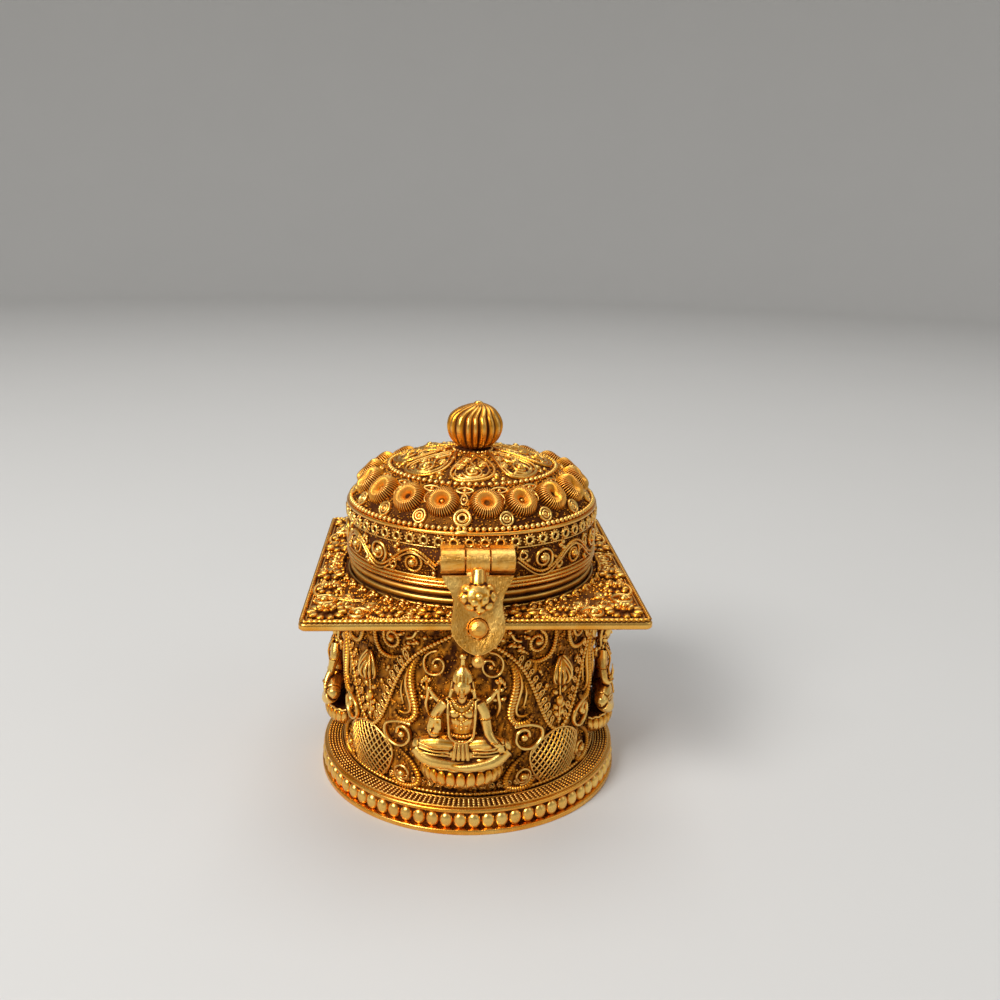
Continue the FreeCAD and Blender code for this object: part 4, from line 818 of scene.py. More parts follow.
class PAAN_OT_buds(Operator):
    """Builds the buds between the arches, with their stalks, side leaves and the sprays beside each
    figure"""
    bl_idname = "paan.buds"
    bl_label = "Buds and sprays"

    def execute(self, context):
        corner = np.radians(45) * DRUM
        t = np.linspace(0, 1, 16)[1:-1]
        form = np.sin(np.pi * t ** 0.62) ** 0.8

        def shell(width, height, low, high):
            path = xyz(0, low + (high - low) * t, 0)
            return tube(path, width * form, height * form, sides=16, low=0.15)

        body = shell(2.2, 1.45, 24.8, 30.5)
        sepals = []
        for scale, out, rise in ((1.0, 0.9, 5.8), (0.66, 1.5, 5.1), (0.3, 1.8, 4.2)):
            side = xyz(2.25 * scale * form, 24.7 + rise * t, out * form)
            sepals.append(tube(side, 0.26, 0.36, sides=6))
        ridge = xyz(0, 25.2 + 3.2 * t, 1.65 * form)
        bud = joined(body, mirrored(joined(*sepals)), tube(ridge, 0.2, sides=6))
        stalk = tube(through([(0, 24.3, 0.2), (0.15, 20.5, 0.2), (0, 16.4, 0.2)], 0.4), 0.22, sides=6)
        small = joined(spread(leaf(3.0, 1.7, 0.8), [(0, 19.6, 0.1)]), dots([(0, 17.4, 0.2)], 0.5))
        starts = [(side, rise, 0) for sign in (1, -1)
                  for side, rise in ((0.2 * sign, 17.6), (0.2 * sign, 19.2), (0.3 * sign, 22.4))]
        leaves = spread(leaf(2.1, 1.0, 0.5, 0.1), starts, lying([62, 48, 40, 118, 132, 140]))
        whole_bud = joined(bud, stalk, small, leaves)
        whole_bud.points[:, 0] += corner
        spray_line = through([(5.9, 20.6, 0.3), (6.5, 23.0, 0.5), (6.2, 25.2, 0.4), (6.5, 27.4, 0.3)], 0.3)
        spray = tube(spray_line, 0.34 * swelled(len(spray_line), 0.4, 0.6), sides=8)
        ends = [(6.4, 24.0, 0.3), (6.4, 24.0, 0.3), (6.3, 25.6, 0.3), (6.3, 25.6, 0.3), (6.4, 27.0, 0.3),
                (6.4, 27.0, 0.3), (6.5, 27.2, 0.4)]
        blades = spread(leaf(1.6, 0.8, 0.5), ends, lying([20, 160, 40, 140, 60, 120, 90]),
                        [1, 1, 0.9, 0.9, 1, 1, 1.1])
        sprays = mirrored(joined(spray, blades))
        shape = joined(on_panels(whole_bud), on_panels(sprays))
        piece("buds_and_sprays", shape, "box", ["spandrel_buds"])
        return {"FINISHED"}


class PAAN_OT_nets(Operator):
    """Builds the raised nets of wire under the buds"""
    bl_idname = "paan.nets"
    bl_label = "Nets"

    def execute(self, context):
        corner = np.radians(44.0) * DRUM
        wires = []
        height = np.linspace(5.3, 15.5, 40)
        for slope in (0.78, -0.78):
            for start in np.arange(-9.5, 9.6, 1.18):
                across = start + slope * (height - 10.4)
                inside = np.abs(across) <= self.half(height)
                if inside.sum() < 4:
                    continue
                at, up = across[inside], height[inside]
                wires.append(tube(xyz(corner + at, up, 0.22 + self.swell(at, up)), 0.15, 0.26, sides=6))
        up = np.linspace(5.1, 15.6, 40)
        edge = self.half(up)
        line = np.r_[np.c_[corner + edge, up], np.c_[corner - edge, up][::-1]]
        rim = evenly(xyz(*np.r_[line, line[:1]].T, 0.28), 0.25, True)
        rim = tube(rim, 0.2, 0.32, sides=6, loop=True)
        up, share = np.meshgrid(np.linspace(5.2, 15.5, 17), np.linspace(-0.97, 0.97, 17), indexing="ij")
        at = share * self.half(up)
        front = xyz(corner + at, up, self.swell(at, up) - 0.02)
        back = front.copy()
        back[..., 2] = -0.1
        cushion = Shape(np.r_[front.reshape(-1, 3), back.reshape(-1, 3)],
                        [lattice(17, 17), lattice(17, 17)[:, ::-1] + 289, self.rim_faces(17)], 0.05)
        piece("nets", on_panels(joined(rim, *wires)), "box", ["net_wedges"])
        piece("net_cushions", on_panels(cushion), "box", finish="dark ground")
        return {"FINISHED"}

    def half(self, height):
        """Half the width of a net at a height: narrow at its foot, widest at 12 mm and pointed at its
        top."""
        return np.interp(height, (5.0, 5.6, 7.0, 9.0, 11.0, 12.6, 14.0, 15.0, 15.7),
                         (2.2, 3.4, 4.8, 5.7, 6.2, 6.0, 4.5, 2.6, 0.5))

    def swell(self, across, height):
        """How far a net stands out: the product of two cosines that end at its edge."""
        share = np.clip(across / self.half(height), -1, 1)
        return 0.1 + 0.85 * np.cos(share * np.pi / 2) * np.cos(np.pi / 2 * (height - 10.4) / 5.4)

    def rim_faces(self, size):
        """Faces that join the edge of a square grid to that of its copy behind it."""
        index = np.arange(size * size).reshape(size, size)
        edge = np.r_[index[0, :-1], index[:-1, -1], index[-1, :0:-1], index[:0:-1, 0]]
        after = np.roll(edge, -1)
        return xyz(edge + size * size, after + size * size, after, edge)


def fused(shape, size, rounds=2):
    """The shapes grown into one skin: remeshed in cells of that size, smoothed, and shaded by how far each
    point stands above the mean of its neighbours, averaged over a wider and wider ring of them."""
    mesh = bpy.data.meshes.new("growing")
    loose = [row for rows in shape.faces for row in rows.tolist()]
    mesh.from_pydata(shape.points.tolist(), [], loose)
    made = bpy.data.objects.new("growing", mesh)
    bpy.context.scene.collection.objects.link(made)
    cells = made.modifiers.new("cells", "REMESH")
    cells.mode = "VOXEL"
    cells.voxel_size = size
    soft = made.modifiers.new("soft", "SMOOTH")
    soft.factor = 0.5
    soft.iterations = rounds
    graph = bpy.context.evaluated_depsgraph_get()
    skin = bpy.data.meshes.new_from_object(made.evaluated_get(graph))
    points = np.zeros(len(skin.vertices) * 3)
    skin.vertices.foreach_get("co", points)
    normals = np.zeros(len(skin.vertices) * 3)
    skin.vertex_normals.foreach_get("vector", normals)
    corners = np.zeros(len(skin.loops), int)
    skin.loops.foreach_get("vertex_index", corners)
    faces = corners.reshape(-1, 4)
    points, normals = points.reshape(-1, 3), normals.reshape(-1, 3)
    bpy.data.objects.remove(made)
    bpy.data.meshes.remove(mesh)
    bpy.data.meshes.remove(skin)
    start, end = faces.ravel(), np.roll(faces, -1, 1).ravel()
    degree = np.maximum(np.bincount(start, minlength=len(points)), 1)

    def around(values):
        return np.bincount(start, weights=values[end], minlength=len(points)) / degree

    mean = np.stack([around(points[:, axis]) for axis in range(3)], 1)
    stand = ((points - mean) * normals).sum(1) / size
    total = np.zeros(len(points))
    for weight in (1.0, 1.0, 1.5, 2.0, 2.5, 3.0, 3.0, 3.0, 3.0, 3.0, 3.0, 3.0):
        stand = 0.5 * stand + 0.5 * around(stand)
        total += weight * stand
    return Shape(points, [faces], 0.58 + 1.1 * total)


def limb(points, across, out=None, sides=12, step=0.3, low=0.4):
    """A round limb through the points whose thickness changes evenly from one point to the next."""
    path = through(points, step)
    share = np.linspace(0, 1, len(path))
    steps = np.linspace(0, 1, len(across))
    wide = np.interp(share, steps, across)
    deep = wide if out is None else np.interp(share, steps, out)
    return tube(path, wide, deep, sides=sides, low=low, normal=(0.001, 0.3, 1))


def petals(count, radius, length, width, height, first=0.0, base=0.0, tilt=0.0):
    """Petals laid round a centre from that radius outwards, the first one so many degrees round."""
    angle = np.radians(first) + full_turn(count)
    along = unit(xyz(np.cos(angle), np.sin(angle), tilt))
    side = xyz(np.sin(angle), -np.cos(angle), 0)
    frames = np.stack([side, along, np.cross(side, along)], 1)
    centres = xyz(radius * np.cos(angle), radius * np.sin(angle), base)
    t = np.linspace(0, 1, 9)[1:-1]
    form = np.sqrt(np.clip(1 - (2 * t - 1) ** 2, 0, 1)) * (0.72 + 0.28 * t)
    groove = 1 - 0.35 * np.exp(-((full_turn(10) - np.pi / 2) / 0.5) ** 2)
    one = tube(xyz(0, length * t, 0), width / 2 * form, height * form[:, None] * groove, sides=10, low=0.05)
    return spread(one, centres, frames)


def flower(radius, count, height=1.2):
    """A flower of two rows of petals and a middle of grains, on a low boss."""
    outer = petals(count, radius * 0.34, radius * 0.66, radius * 1.55 * np.pi / count * 0.8, height * 0.55,
                   base=height * 0.25)
    inner = petals(max(count - 3, 5), radius * 0.12, radius * 0.42, radius * 0.34, height * 0.5, 12.0,
                   height * 0.6, 0.3)
    middle = dots([(0, 0, height * 0.95)], radius * 0.17)
    boss = spread(ball(12, 5, 0.0), [(0, 0, 0)], sizes=[(radius * 0.7, radius * 0.7, height * 0.7)])
    boss.shade *= 0.3
    return joined(outer, inner, middle, boss)


class PAAN_OT_figures(Operator):
    """Builds the seated figure of each panel: body, plain face, headdress, limbs, beads and pleats"""
    bl_idname = "paan.figures"
    bl_label = "Figures"

    def execute(self, context):
        grain = ball(10, 6, 0.4)
        # Torso, neck, head, chest, face, the lower pair of arms, the legs and the hair
        body = [
            limb([(0, 15.9, 1.7), (0, 18.4, 1.9), (0, 20.3, 2.0), (0, 22.4, 2.1), (0, 24.2, 2.0),
                  (0, 25.4, 1.8)],
                 [3.1, 2.5, 2.1, 2.5, 3.0, 1.7], [1.5, 1.35, 1.25, 1.45, 1.3, 0.9], 20),
            limb([(0, 24.8, 2.0), (0, 26.4, 2.4)], [0.95, 0.8]),
            spread(ball(20, 12), [(0, 28.0, 2.35)], sizes=[(1.42, 1.8, 1.4)]),
            spread(grain, [(-1.05, 23.0, 2.7), (1.05, 23.0, 2.7), (0, 26.5, 3.1)],
                   sizes=[(1.2, 0.95, 0.85), (1.2, 0.95, 0.85), (0.45, 0.38, 0.36)]),
            limb([(0, 28.3, 3.62), (0, 27.7, 3.84), (0, 27.28, 3.88)], [0.12, 0.16, 0.22], sides=8,
                 step=0.15),
            spread(grain, [(-0.56, 27.98, 3.42), (0.56, 27.98, 3.42), (0, 26.86, 3.48)],
                   sizes=[(0.34, 0.19, 0.2), (0.34, 0.19, 0.2), (0.36, 0.13, 0.2)]),
            limb([(-1.1, 28.3, 3.05), (-0.6, 28.5, 3.5), (0, 28.38, 3.66), (0.6, 28.5, 3.5),
                  (1.1, 28.3, 3.05)],
                 [0.1, 0.15, 0.12, 0.15, 0.1], sides=8, step=0.15),
            limb([(2.6, 24.6, 1.9), (3.5, 22.9, 2.2), (3.9, 20.9, 2.7), (4.2, 19.4, 3.2), (5.0, 18.0, 4.0),
                  (5.7, 17.2, 4.3)], [1.1, 1.0, 0.86, 0.76, 0.64, 0.5]),
            spread(grain, [(6.0, 16.7, 4.4), (-3.55, 20.9, 4.3)],
                   sizes=[(0.56, 0.8, 0.36), (0.62, 0.85, 0.32)]),
            limb([(-2.6, 24.6, 1.9), (-3.8, 23.0, 2.1), (-4.6, 21.0, 2.5), (-4.8, 19.5, 3.0),
                  (-4.3, 19.0, 3.6), (-3.7, 20.2, 4.1)], [1.1, 1.0, 0.86, 0.78, 0.66, 0.5]),
            limb([(-1.2, 16.6, 2.0), (-4.0, 17.0, 2.7), (-6.4, 16.5, 2.8)], [1.8, 1.75, 1.5]),
            limb([(1.2, 16.6, 2.0), (4.0, 17.0, 2.7), (6.4, 16.5, 2.8)], [1.8, 1.75, 1.5]),
            spread(grain, [(-6.6, 16.2, 2.8), (6.6, 16.2, 2.8), (0, 15.4, 2.4)],
                   sizes=[(1.5, 1.55, 1.4), (1.5, 1.55, 1.4), (5.0, 1.8, 1.8)]),
            limb([(7.0, 15.7, 3.1), (5.4, 14.3, 3.8), (2.8, 13.5, 4.1), (-0.4, 13.2, 4.2), (-2.6, 13.6, 4.1)],
                 [1.35, 1.2, 0.98, 0.78, 0.5]),
            limb([(-7.0, 15.7, 3.1), (-5.4, 14.3, 3.8), (-3.0, 13.7, 3.9), (0.6, 13.7, 3.7),
                  (2.6, 14.2, 3.8)],
                 [1.35, 1.2, 0.98, 0.78, 0.5]),
            spread(grain, [(-3.1, 13.8, 4.1), (3.2, 14.5, 3.9)], sizes=[(0.95, 0.42, 0.5)] * 2),
            spread(ball(16, 8), [(0, 28.8, 1.75)], sizes=[(1.62, 1.55, 1.5)])]
        # The upper pair of arms, the locks, the upper hands and the earrings
        for side in (-1, 1):
            body.append(limb([(side * 2.2, 24.9, 1.3), (side * 3.9, 24.2, 0.9), (side * 4.9, 24.9, 0.8),
                              (side * 5.6, 26.0, 0.9)], [0.62, 0.52, 0.44, 0.34]))
            body.append(limb([(side * 1.45, 28.7, 1.7), (side * 1.75, 26.9, 1.5), (side * 2.1, 25.3, 1.7)],
                             [0.4, 0.42, 0.3]))
            body.append(spread(grain, [(side * 5.8, 26.3, 1.0), (side * 1.55, 27.2, 2.3)],
                               sizes=[(0.42, 0.55, 0.4), (0.34, 0.42, 0.34)]))
        # Fingers of the raised hand and of the resting one
        for finger in range(4):
            body.append(limb([(-3.95 + 0.27 * finger, 21.4, 4.3), (-4.05 + 0.3 * finger, 22.5, 4.2)],
                             [0.15, 0.12], sides=8, step=0.15))
            body.append(limb([(5.85 + 0.22 * finger, 16.3, 4.5), (5.95 + 0.25 * finger, 15.5, 4.3)],
                             [0.14, 0.11], sides=8, step=0.15))
        # The tall headdress: ribs round a core
        turns = np.radians(np.linspace(-84, 84, 9))
        ribs = [tube(through([(1.5 * np.sin(a), 28.95, 1.9 + 1.3 * np.cos(a)),
                              (1.32 * np.sin(a), 30.1, 1.8 + 1.05 * np.cos(a)),
                              (0.35 * np.sin(a), 31.5, 1.7 + 0.35 * np.cos(a))], 0.25), 0.27,
                     normal=(np.sin(a), 0.2, np.cos(a)), low=0.3) for a in turns]
        core = limb([(0, 28.6, 1.6), (0, 30.2, 1.6), (0, 31.6, 1.6), (0, 33.2, 1.55)], [1.45, 1.15, 0.4, 0.3])
        whole = fused(joined(*body, *ribs, core), 0.14)
        # Necklaces, the garland, the belt and single jewels
        strings = [
            beaded(through([(-1.9, 25.1, 2.7), (-1.2, 23.9, 3.45), (0, 23.3, 3.65), (1.2, 23.9, 3.45),
                            (1.9, 25.1, 2.7)], 0.08), 0.27, 0.52, 6),
            beaded(through([(-1.4, 25.6, 2.6), (-0.9, 24.8, 3.15), (0, 24.45, 3.35), (0.9, 24.8, 3.15),
                            (1.4, 25.6, 2.6)], 0.08), 0.22, 0.44, 6),
            beaded(through([(-1.0, 22.3, 3.5), (0, 21.7, 3.55), (1.0, 22.3, 3.5)], 0.08), 0.22, 0.44, 6),
            tube(through([(-2.2, 25.4, 2.6), (-2.1, 23.2, 3.6), (-2.0, 20.6, 3.45), (-1.6, 18.6, 3.8),
                          (0, 17.9, 4.15), (1.6, 18.6, 3.8), (2.0, 20.6, 3.45), (2.1, 23.2, 3.6),
                          (2.2, 25.4, 2.6)], 0.2), 0.22, 0.24, sides=6, low=0.3),
            beaded(through([(-2.3, 19.3, 2.9), (-1.2, 19.0, 3.35), (0, 18.9, 3.45), (1.2, 19.0, 3.35),
                            (2.3, 19.3, 2.9)], 0.08), 0.28, 0.52, 6),
            spread(grain, [(0, 33.35, 1.55), (0, 22.9, 3.75), (0, 21.2, 3.45), (0, 20.3, 3.4),
                           (-0.8, 20.6, 3.4), (0.8, 20.6, 3.4)], sizes=[0.6, 0.34, 0.34, 0.26, 0.24, 0.24])]
        # Pleats of the cloth in front, and its folds over the legs
        pleats = [tube(through([(0.5 * k, 18.2, 3.6), (0.62 * k, 16.6, 4.35), (0.72 * k, 14.9, 4.7)], 0.3),
                       0.29, sides=8, low=0.1) for k in (-1.5, -0.5, 0.5, 1.5)]
        folds = [tube(through([(s * 1.7, 16.6 - 0.62 * k, 3.75 + 0.2 * k), (s * 4.2, 16.7 - 0.62 * k, 4.4),
                               (s * 6.6, 17.3 - 0.85 * k, 4.15)], 0.3), 0.2, sides=6, low=0.1)
                 for s in (-1, 1) for k in (0, 1, 2)]
        # Armlets and bracelets, turned from lying to standing
        rings = [spread(beaded(hoop(1.0, 0, 0.1), 0.2, 0.42, 6, True), [place], sizes=size)
                 for place, size in (((3.7, 22.0, 2.4), 0.95), ((-4.2, 22.0, 2.3), 0.95),
                                     ((5.1, 17.9, 4.1), 0.66), ((-4.0, 19.6, 3.9), 0.66))]
        for ring in rings:
            middle = ring.points.mean(0)
            ring.points = middle + (ring.points - middle)[:, [0, 2, 1]] * (1, 1, -1)
        figure = joined(whole, *strings, *pleats, *folds, *rings)
        for turn, name in zip(PANELS, ("front", "right", "back", "left")):
            piece(name + "_seated_figure", bent(figure, DRUM, (turn,)), "box", [name + "_figure"],
                  "figure gold")
        return {"FINISHED"}


class PAAN_OT_lotus(Operator):
    """Builds the lotus seat under each figure: its bowl, the hanging petals and the scalloped rim"""
    bl_idname = "paan.lotus"
    bl_label = "Lotus seats"

    def execute(self, context):
        turn = full_turn(40)
        levels = np.array([(8.3, 0.62), (9.2, 0.78), (10.6, 0.93), (11.8, 0.97), (12.5, 0.9), (12.75, 0.7)])
        deep = np.where(np.cos(turn) > 0, 4.1 * np.cos(turn), 0.3 * np.cos(turn))
        grid = xyz(-6.7 * levels[:, 1:] * np.sin(turn), levels[:, :1], levels[:, 1:] * deep)
        bowl = capped(grid[:, ::-1], 0.12)
        shapes = [bowl]
        for count, top, length, width, height, reach in ((13, 12.4, 3.7, 1.62, 0.8, 1.0),
                                                         (14, 10.4, 2.2, 1.2, 0.6, 0.84)):
            a = np.radians(np.linspace(-80, 80, count))
            out = unit(xyz(4.1 * np.sin(a), 0.45, 6.6 * np.cos(a)))
            down = unit(np.cross(np.cross(out, (0.0, -1.0, 0.0)), out))
            frames = np.stack([np.cross(down, out), down, out], 1)
            places = xyz(6.5 * reach * np.sin(a), top, 4.0 * reach * np.cos(a) - 0.1)
            t = np.linspace(0, 1, 10)[1:-1]
            form = np.sqrt(np.clip(1 - (2 * t ** 1.4 - 1) ** 2, 0, 1))
            sag = xyz(0, length * t, 0.35 * np.sin(np.pi * t) - 0.9 * t**2)
            sides = full_turn(12)
            ribs = 1 - 0.3 * np.cos(2 * (sides - np.pi / 2)) ** 6
            one = tube(sag, width / 2 * form, height * form[:, None] * ribs, sides=12, low=0.3)
            shapes.append(spread(one, places, frames))
        a = np.radians(np.linspace(-84, 84, 60))
        rim = xyz(7.75 * np.sin(a), 12.45 + 0.12 * np.cos(22 * a), 4.15 * np.cos(a))
        shapes.append(tube(rim, 0.26, 0.3, sides=6))
        piece("lotus_petals", on_panels(joined(*shapes)), "box", ["lotus_seats"], "figure gold")
        return {"FINISHED"}


def square_line(half, corner, per_side=48):
    """The outline of a square with round corners, anticlockwise from above, as points of x and y."""
    run = np.linspace(-(half - corner), half - corner, per_side)
    bend = np.radians(np.linspace(-90, 0, 8)[1:-1])
    side = xyz(run, -half)
    turn = xyz(half - corner + corner * np.cos(bend), -half + corner + corner * np.sin(bend))
    quarter = np.r_[side, turn]
    return np.concatenate([quarter @ np.array([[c, s], [-s, c]]) for c, s in QUARTERS])


def on_sides(shape, sides=(0, 1, 2, 3)):
    """A pattern drawn on the plate's front strip, repeated on its sides: front, right, back and left."""
    return joined(*[swung(shape, *QUARTERS[side]) for side in sides])


class PAAN_OT_plate(Operator):
    """Builds the square plate with its rope edge, corner flowers, scrolls, clusters and half flowers"""
    bl_idname = "paan.plate"
    bl_label = "Square plate"

    def execute(self, context):
        sizes = context.scene.paan_sizes
        # The slab's section goes from the hole's upper edge down, out and up again
        outer, inner = square_line(PLATE, 1.2), square_line(29.72, 1.0)
        angle = np.arctan2(outer[:, 1], outer[:, 0])
        hole = 23.3 * xyz(np.cos(angle), np.sin(angle))
        levels = ((hole, PLATE_TOP), (hole, PLATE_LOW), (inner, PLATE_LOW), (outer, 40.1), (outer, 40.9),
                  (inner, PLATE_TOP), (inner * 0.985, PLATE_TOP))
        grid = np.stack([xyz(*line.T, height) for line, height in levels])
        shade = np.repeat((0.12, 0.4, 0.6, 0.8, 0.9, 0.9, 0.1), len(outer))
        slab = Shape(grid.reshape(-1, 3), [lattice(7, len(outer), True, True)], shade)
        piece("plate_slab", slab, "box", ["square_plate"], "smooth gold", sharp=50)
        # The rope along the edge, and a plain wire inside it
        border = square_line(29.5, 0.9, 120)
        border = evenly(xyz(*np.r_[border, border[:1]].T, 41.33), 0.11, True)
        rail = xyz(*square_line(28.75, 0.8, 60).T, 41.3)
        band = joined(rope(border, sizes.rope * 1000, 1.7, loop=True, depth=0.52),
                      tube(rail, 0.16, 0.2, loop=True, sides=6))
        piece("plate_rope", band, "box", ["plate_edge_wire"])
        flowers = joined(spread(flower(3.7, 10, 1.35), [(-25.6, -25.6, PLATE_TOP)]),
                         *[spread(flower(2.6, 8, 1.3), [(x, -26.1, PLATE_TOP)]) for x in (-14.9, 14.9)])
        piece("plate_flowers", on_sides(flowers), "box", ["corner_flowers"])
        # From the corner to the middle of a side: comma, sprung wire, half flower, curls, grains
        comma = through([(-18.6, -28.0, 0), (-18.2, -25.6, 0), (-19.9, -24.4, 0), (-21.7, -25.6, 0),
                         (-21.5, -27.5, 0), (-20.1, -28.0, 0), (-19.4, -26.9, 0), (-20.2, -26.2, 0)], 0.2)
        comma = joined(tube(comma, 0.26, 0.75), dots([(-20.2, -26.6, 0.45)], 0.85, 10, 5))
        ribbed = through([(-18.2, -27.6, 0), (-17.0, -28.5, 0), (-14.9, -28.9, 0), (-12.6, -28.5, 0),
                          (-11.4, -27.4, 0)], 0.1)
        ribbed = spread(spring(ribbed, 0.42, 0.5), [(0, 0, 41.35)])
        half = spread(petals(7, 0.5, 2.5, 1.4, 0.6, -160.0, 0.4), [(-7.9, -26.6, PLATE_TOP)],
                      sizes=(0.92, 0.95, 1.4))
        loops = [spread(tube(curl((0, 0), a, t, r, 0.4, 0.15), 0.2, 0.5, sides=6), [(x, y, 41.25)])
                 for x, y, a, t, r in ((-11.2, -25.6, 40, 1.2, 1.1), (-11.6, -27.6, 200, -1.2, 0.9),
                                       (-4.4, -26.4, 120, 1.3, 1.2), (-4.2, -28.2, -60, -1.1, 0.8),
                                       (-1.6, -26.6, 60, -1.3, 1.2), (-22.4, -22.4, 225, 1.3, 1.5),
                                       (-18.3, -22.6, 100, 1.2, 1.1), (-22.6, -18.3, 100, -1.2, 1.1))]
        grains = dots([(-11.2, -25.6, 41.5), (-4.4, -26.4, 41.5), (-1.6, -26.6, 41.5), (-22.4, -22.4, 41.6),
                       (-17.6, -24.6, 41.4), (-9.9, -28.1, 41.4), (-6.0, -28.3, 41.4), (-2.6, -28.2, 41.4)],
                      [0.5, 0.55, 0.5, 0.7, 0.45, 0.35, 0.35, 0.4])
        # The wavy strip that parts each corner from the side
        across = np.linspace(-28.4, -19.4, 60)
        rail = xyz(across, -19.5 + 0.5 * np.sin(across * 0.7), 41.32)
        divider = joined(*[tube(rail + (0, shift, 0), 0.14, 0.2, sides=6) for shift in (0.36, -0.36)],
                         dots(rail[::4], 0.27, 6, 3))
        starts = [(-24.6, -21.6, 0), (-12.6, -24.6, 0), (-9.6, -28.3, 0), (-6.2, -27.6, 0), (-2.9, -25.2, 0),
                  (-16.4, -23.4, 0), (-22.4, -24.2, 0), (-18.0, -24.4, 0)]
        leaves = spread(leaf(1.7, 1.0, 0.6), starts, lying([20, 75, 130, 200, 250, 310, 160, 40]))
        for shape in (comma, leaves):
            shape.points[:, 2] += PLATE_TOP
        front = mirrored(joined(comma, ribbed, half, *loops, grains, leaves))
        away = mirrored(joined(comma, ribbed, *loops[:2], *loops[5:]))
        # The ring of curls round the hole, left open for the back hinge
        hook = joined(tube(curl((0, 0), 40, 1.2, 0.95, 0.4, 0.15), 0.2, 0.5, sides=6),
                      dots([(0, 0, 0.3), (1.3, 0.4, 0.1), (-1.3, -0.3, 0.1)], [0.5, 0.45, 0.4]))
        places, frames = ring_places(46, 25.0, 41.25)
        clear = places[:, 1] < 20.0
        scrolls = joined(on_sides(front, (0, 1, 3)), on_sides(away, (2,)), on_sides(divider),
                         spread(hook, places[clear], frames[clear]))
        # Grit in the free places outside the hole
        random = scattered(4200, (-28.4, -28.4), (28.4, 28.4), 8)
        random = random[np.hypot(*random.T) > 24.2]
        grit = dots(xyz(*random.T, 41.22), scattered(len(random), (0.15,), (0.36,), 9)[:, 0], 6, 3)
        grit.shade *= 0.75
        collar = tube(hoop(23.75, 41.35, 0.3), 0.22, 0.3, loop=True, sides=6)
        piece("plate_scrolls", joined(scrolls, grit, collar), "box", ["plate_leaf_scrolls"])
        return {"FINISHED"}


class PAAN_OT_cup(Operator):
    """Builds the round lining of the cup, whose neck the lid slides over"""
    bl_idname = "paan.cup"
    bl_label = "Cup"

    def execute(self, context):
        wall = [(0, FOOT_TOP), (CUP, FOOT_TOP), (CUP, 26.0), (CUP, 46.8), (22.7, CUP_TOP), (22.3, CUP_TOP),
                (22.1, 46.8), (22.1, 26.0), (22.1, 6.5), (21.6, 6.0), (0, 6.0)]
        # The cup's outside, seen as the neck under the lid, is shaded much darker than its inside: painted
        # shadow under the lid's rim
        shade = (0.5, 0.3, 0.25, 0.25, 0.6, 0.7, 0.6, 0.6, 0.5, 0.5, 0.55)
        turn = np.radians(np.linspace(-157, 157, 300))
        rims = [tube(about(radius, turn, height), out, 0.55, sides=10, low=0.4)
                for radius, height, out in ((23.15, 43.85, 0.62), (23.1, 42.3, 0.42))]
        piece("cup_lining", joined(turned(wall, 240, shade), *rims), "box", ["inner_cup"], "inner gold",
              sharp=50)
        return {"FINISHED"}


class PAAN_OT_lid(Operator):
    """Builds the lid's band and dome, their wires and the bead rows"""
    bl_idname = "paan.lid"
    bl_label = "Lid"

    def execute(self, context):
        sizes = context.scene.paan_sizes
        band = [(23.2, BAND_LOW), (BAND, BAND_LOW), (BAND, 50.0), (BAND, SHOULDER), (22.4, SHOULDER),
                (22.4, 47.3), (23.2, 47.3)]
        piece("lid_band_wall", turned(band, 240, (0.5, 0.5, 0.22, 0.3, 0.4, 0.5, 0.5)), "lid", ["lid_band"],
              "smooth gold", sharp=50)
        wires = joined(*[tube(hoop(23.72, height), thick, loop=True, sides=10, low=0.55)
                         for height, thick in ((45.22, 0.34), (45.9, 0.32))])
        piece("lid_rim_pair", wires, "lid", ["lid_rim_wires"], "smooth gold")
        shoulder = turned([(23.3, 54.45), (23.75, 54.5), (23.92, 54.7), (23.95, 54.95), (23.85, 55.15),
                           (23.3, 55.25)], 240, (0.3, 0.7, 0.9, 0.9, 0.8, 0.3))
        piece("shoulder_wire", shoulder, "lid", ["lid_shoulder_wire"], "smooth gold")
        beads = spread(ball(8, 5, 0.3), *ring_places(sizes.top_beads, 23.12, 55.55, 50.0), 0.52)
        piece("lid_lower_beads", beads, "lid", ["lower_bead_row"])
        upper = spread(ball(8, 5, 0.2), *ring_places(sizes.crown_beads, 15.85, 61.5, 30.0), 0.52)
        piece("lid_upper_beads", upper, "lid", ["upper_bead_row"])
        rise = np.linspace(np.radians(14.7), np.pi / 2, 26)
        outside = xyz(DOME_REACH * np.cos(rise), DOME_MIDDLE + (DOME_TOP - DOME_MIDDLE) * np.sin(rise))
        inside = xyz(22.6 * np.cos(rise), 51.4 + 12.1 * np.sin(rise))[-2:0:-1]
        profile = np.r_[[[22.0, SHOULDER]], outside[:-1], [[2.0, DOME_TOP], [2.0, DOME_TOP - 1]], inside]
        profile[:, 1] = np.maximum(profile[:, 1], SHOULDER)
        shade = np.r_[0.3, np.full(len(outside) - 1, 0.16), 0.3, 0.5, np.full(len(inside), 0.6)]
        piece("lid_dome_shell", turned(profile, 240, shade), "lid", ["lid_dome"], "dark gold")
        return {"FINISHED"}


def dome_height(radius):
    """Height of the dome's outside at a radius: half an ellipse about the dome's middle."""
    share = np.sqrt(np.clip(1 - (radius / DOME_REACH) ** 2, 0, 1))
    return DOME_MIDDLE + (DOME_TOP - DOME_MIDDLE) * share


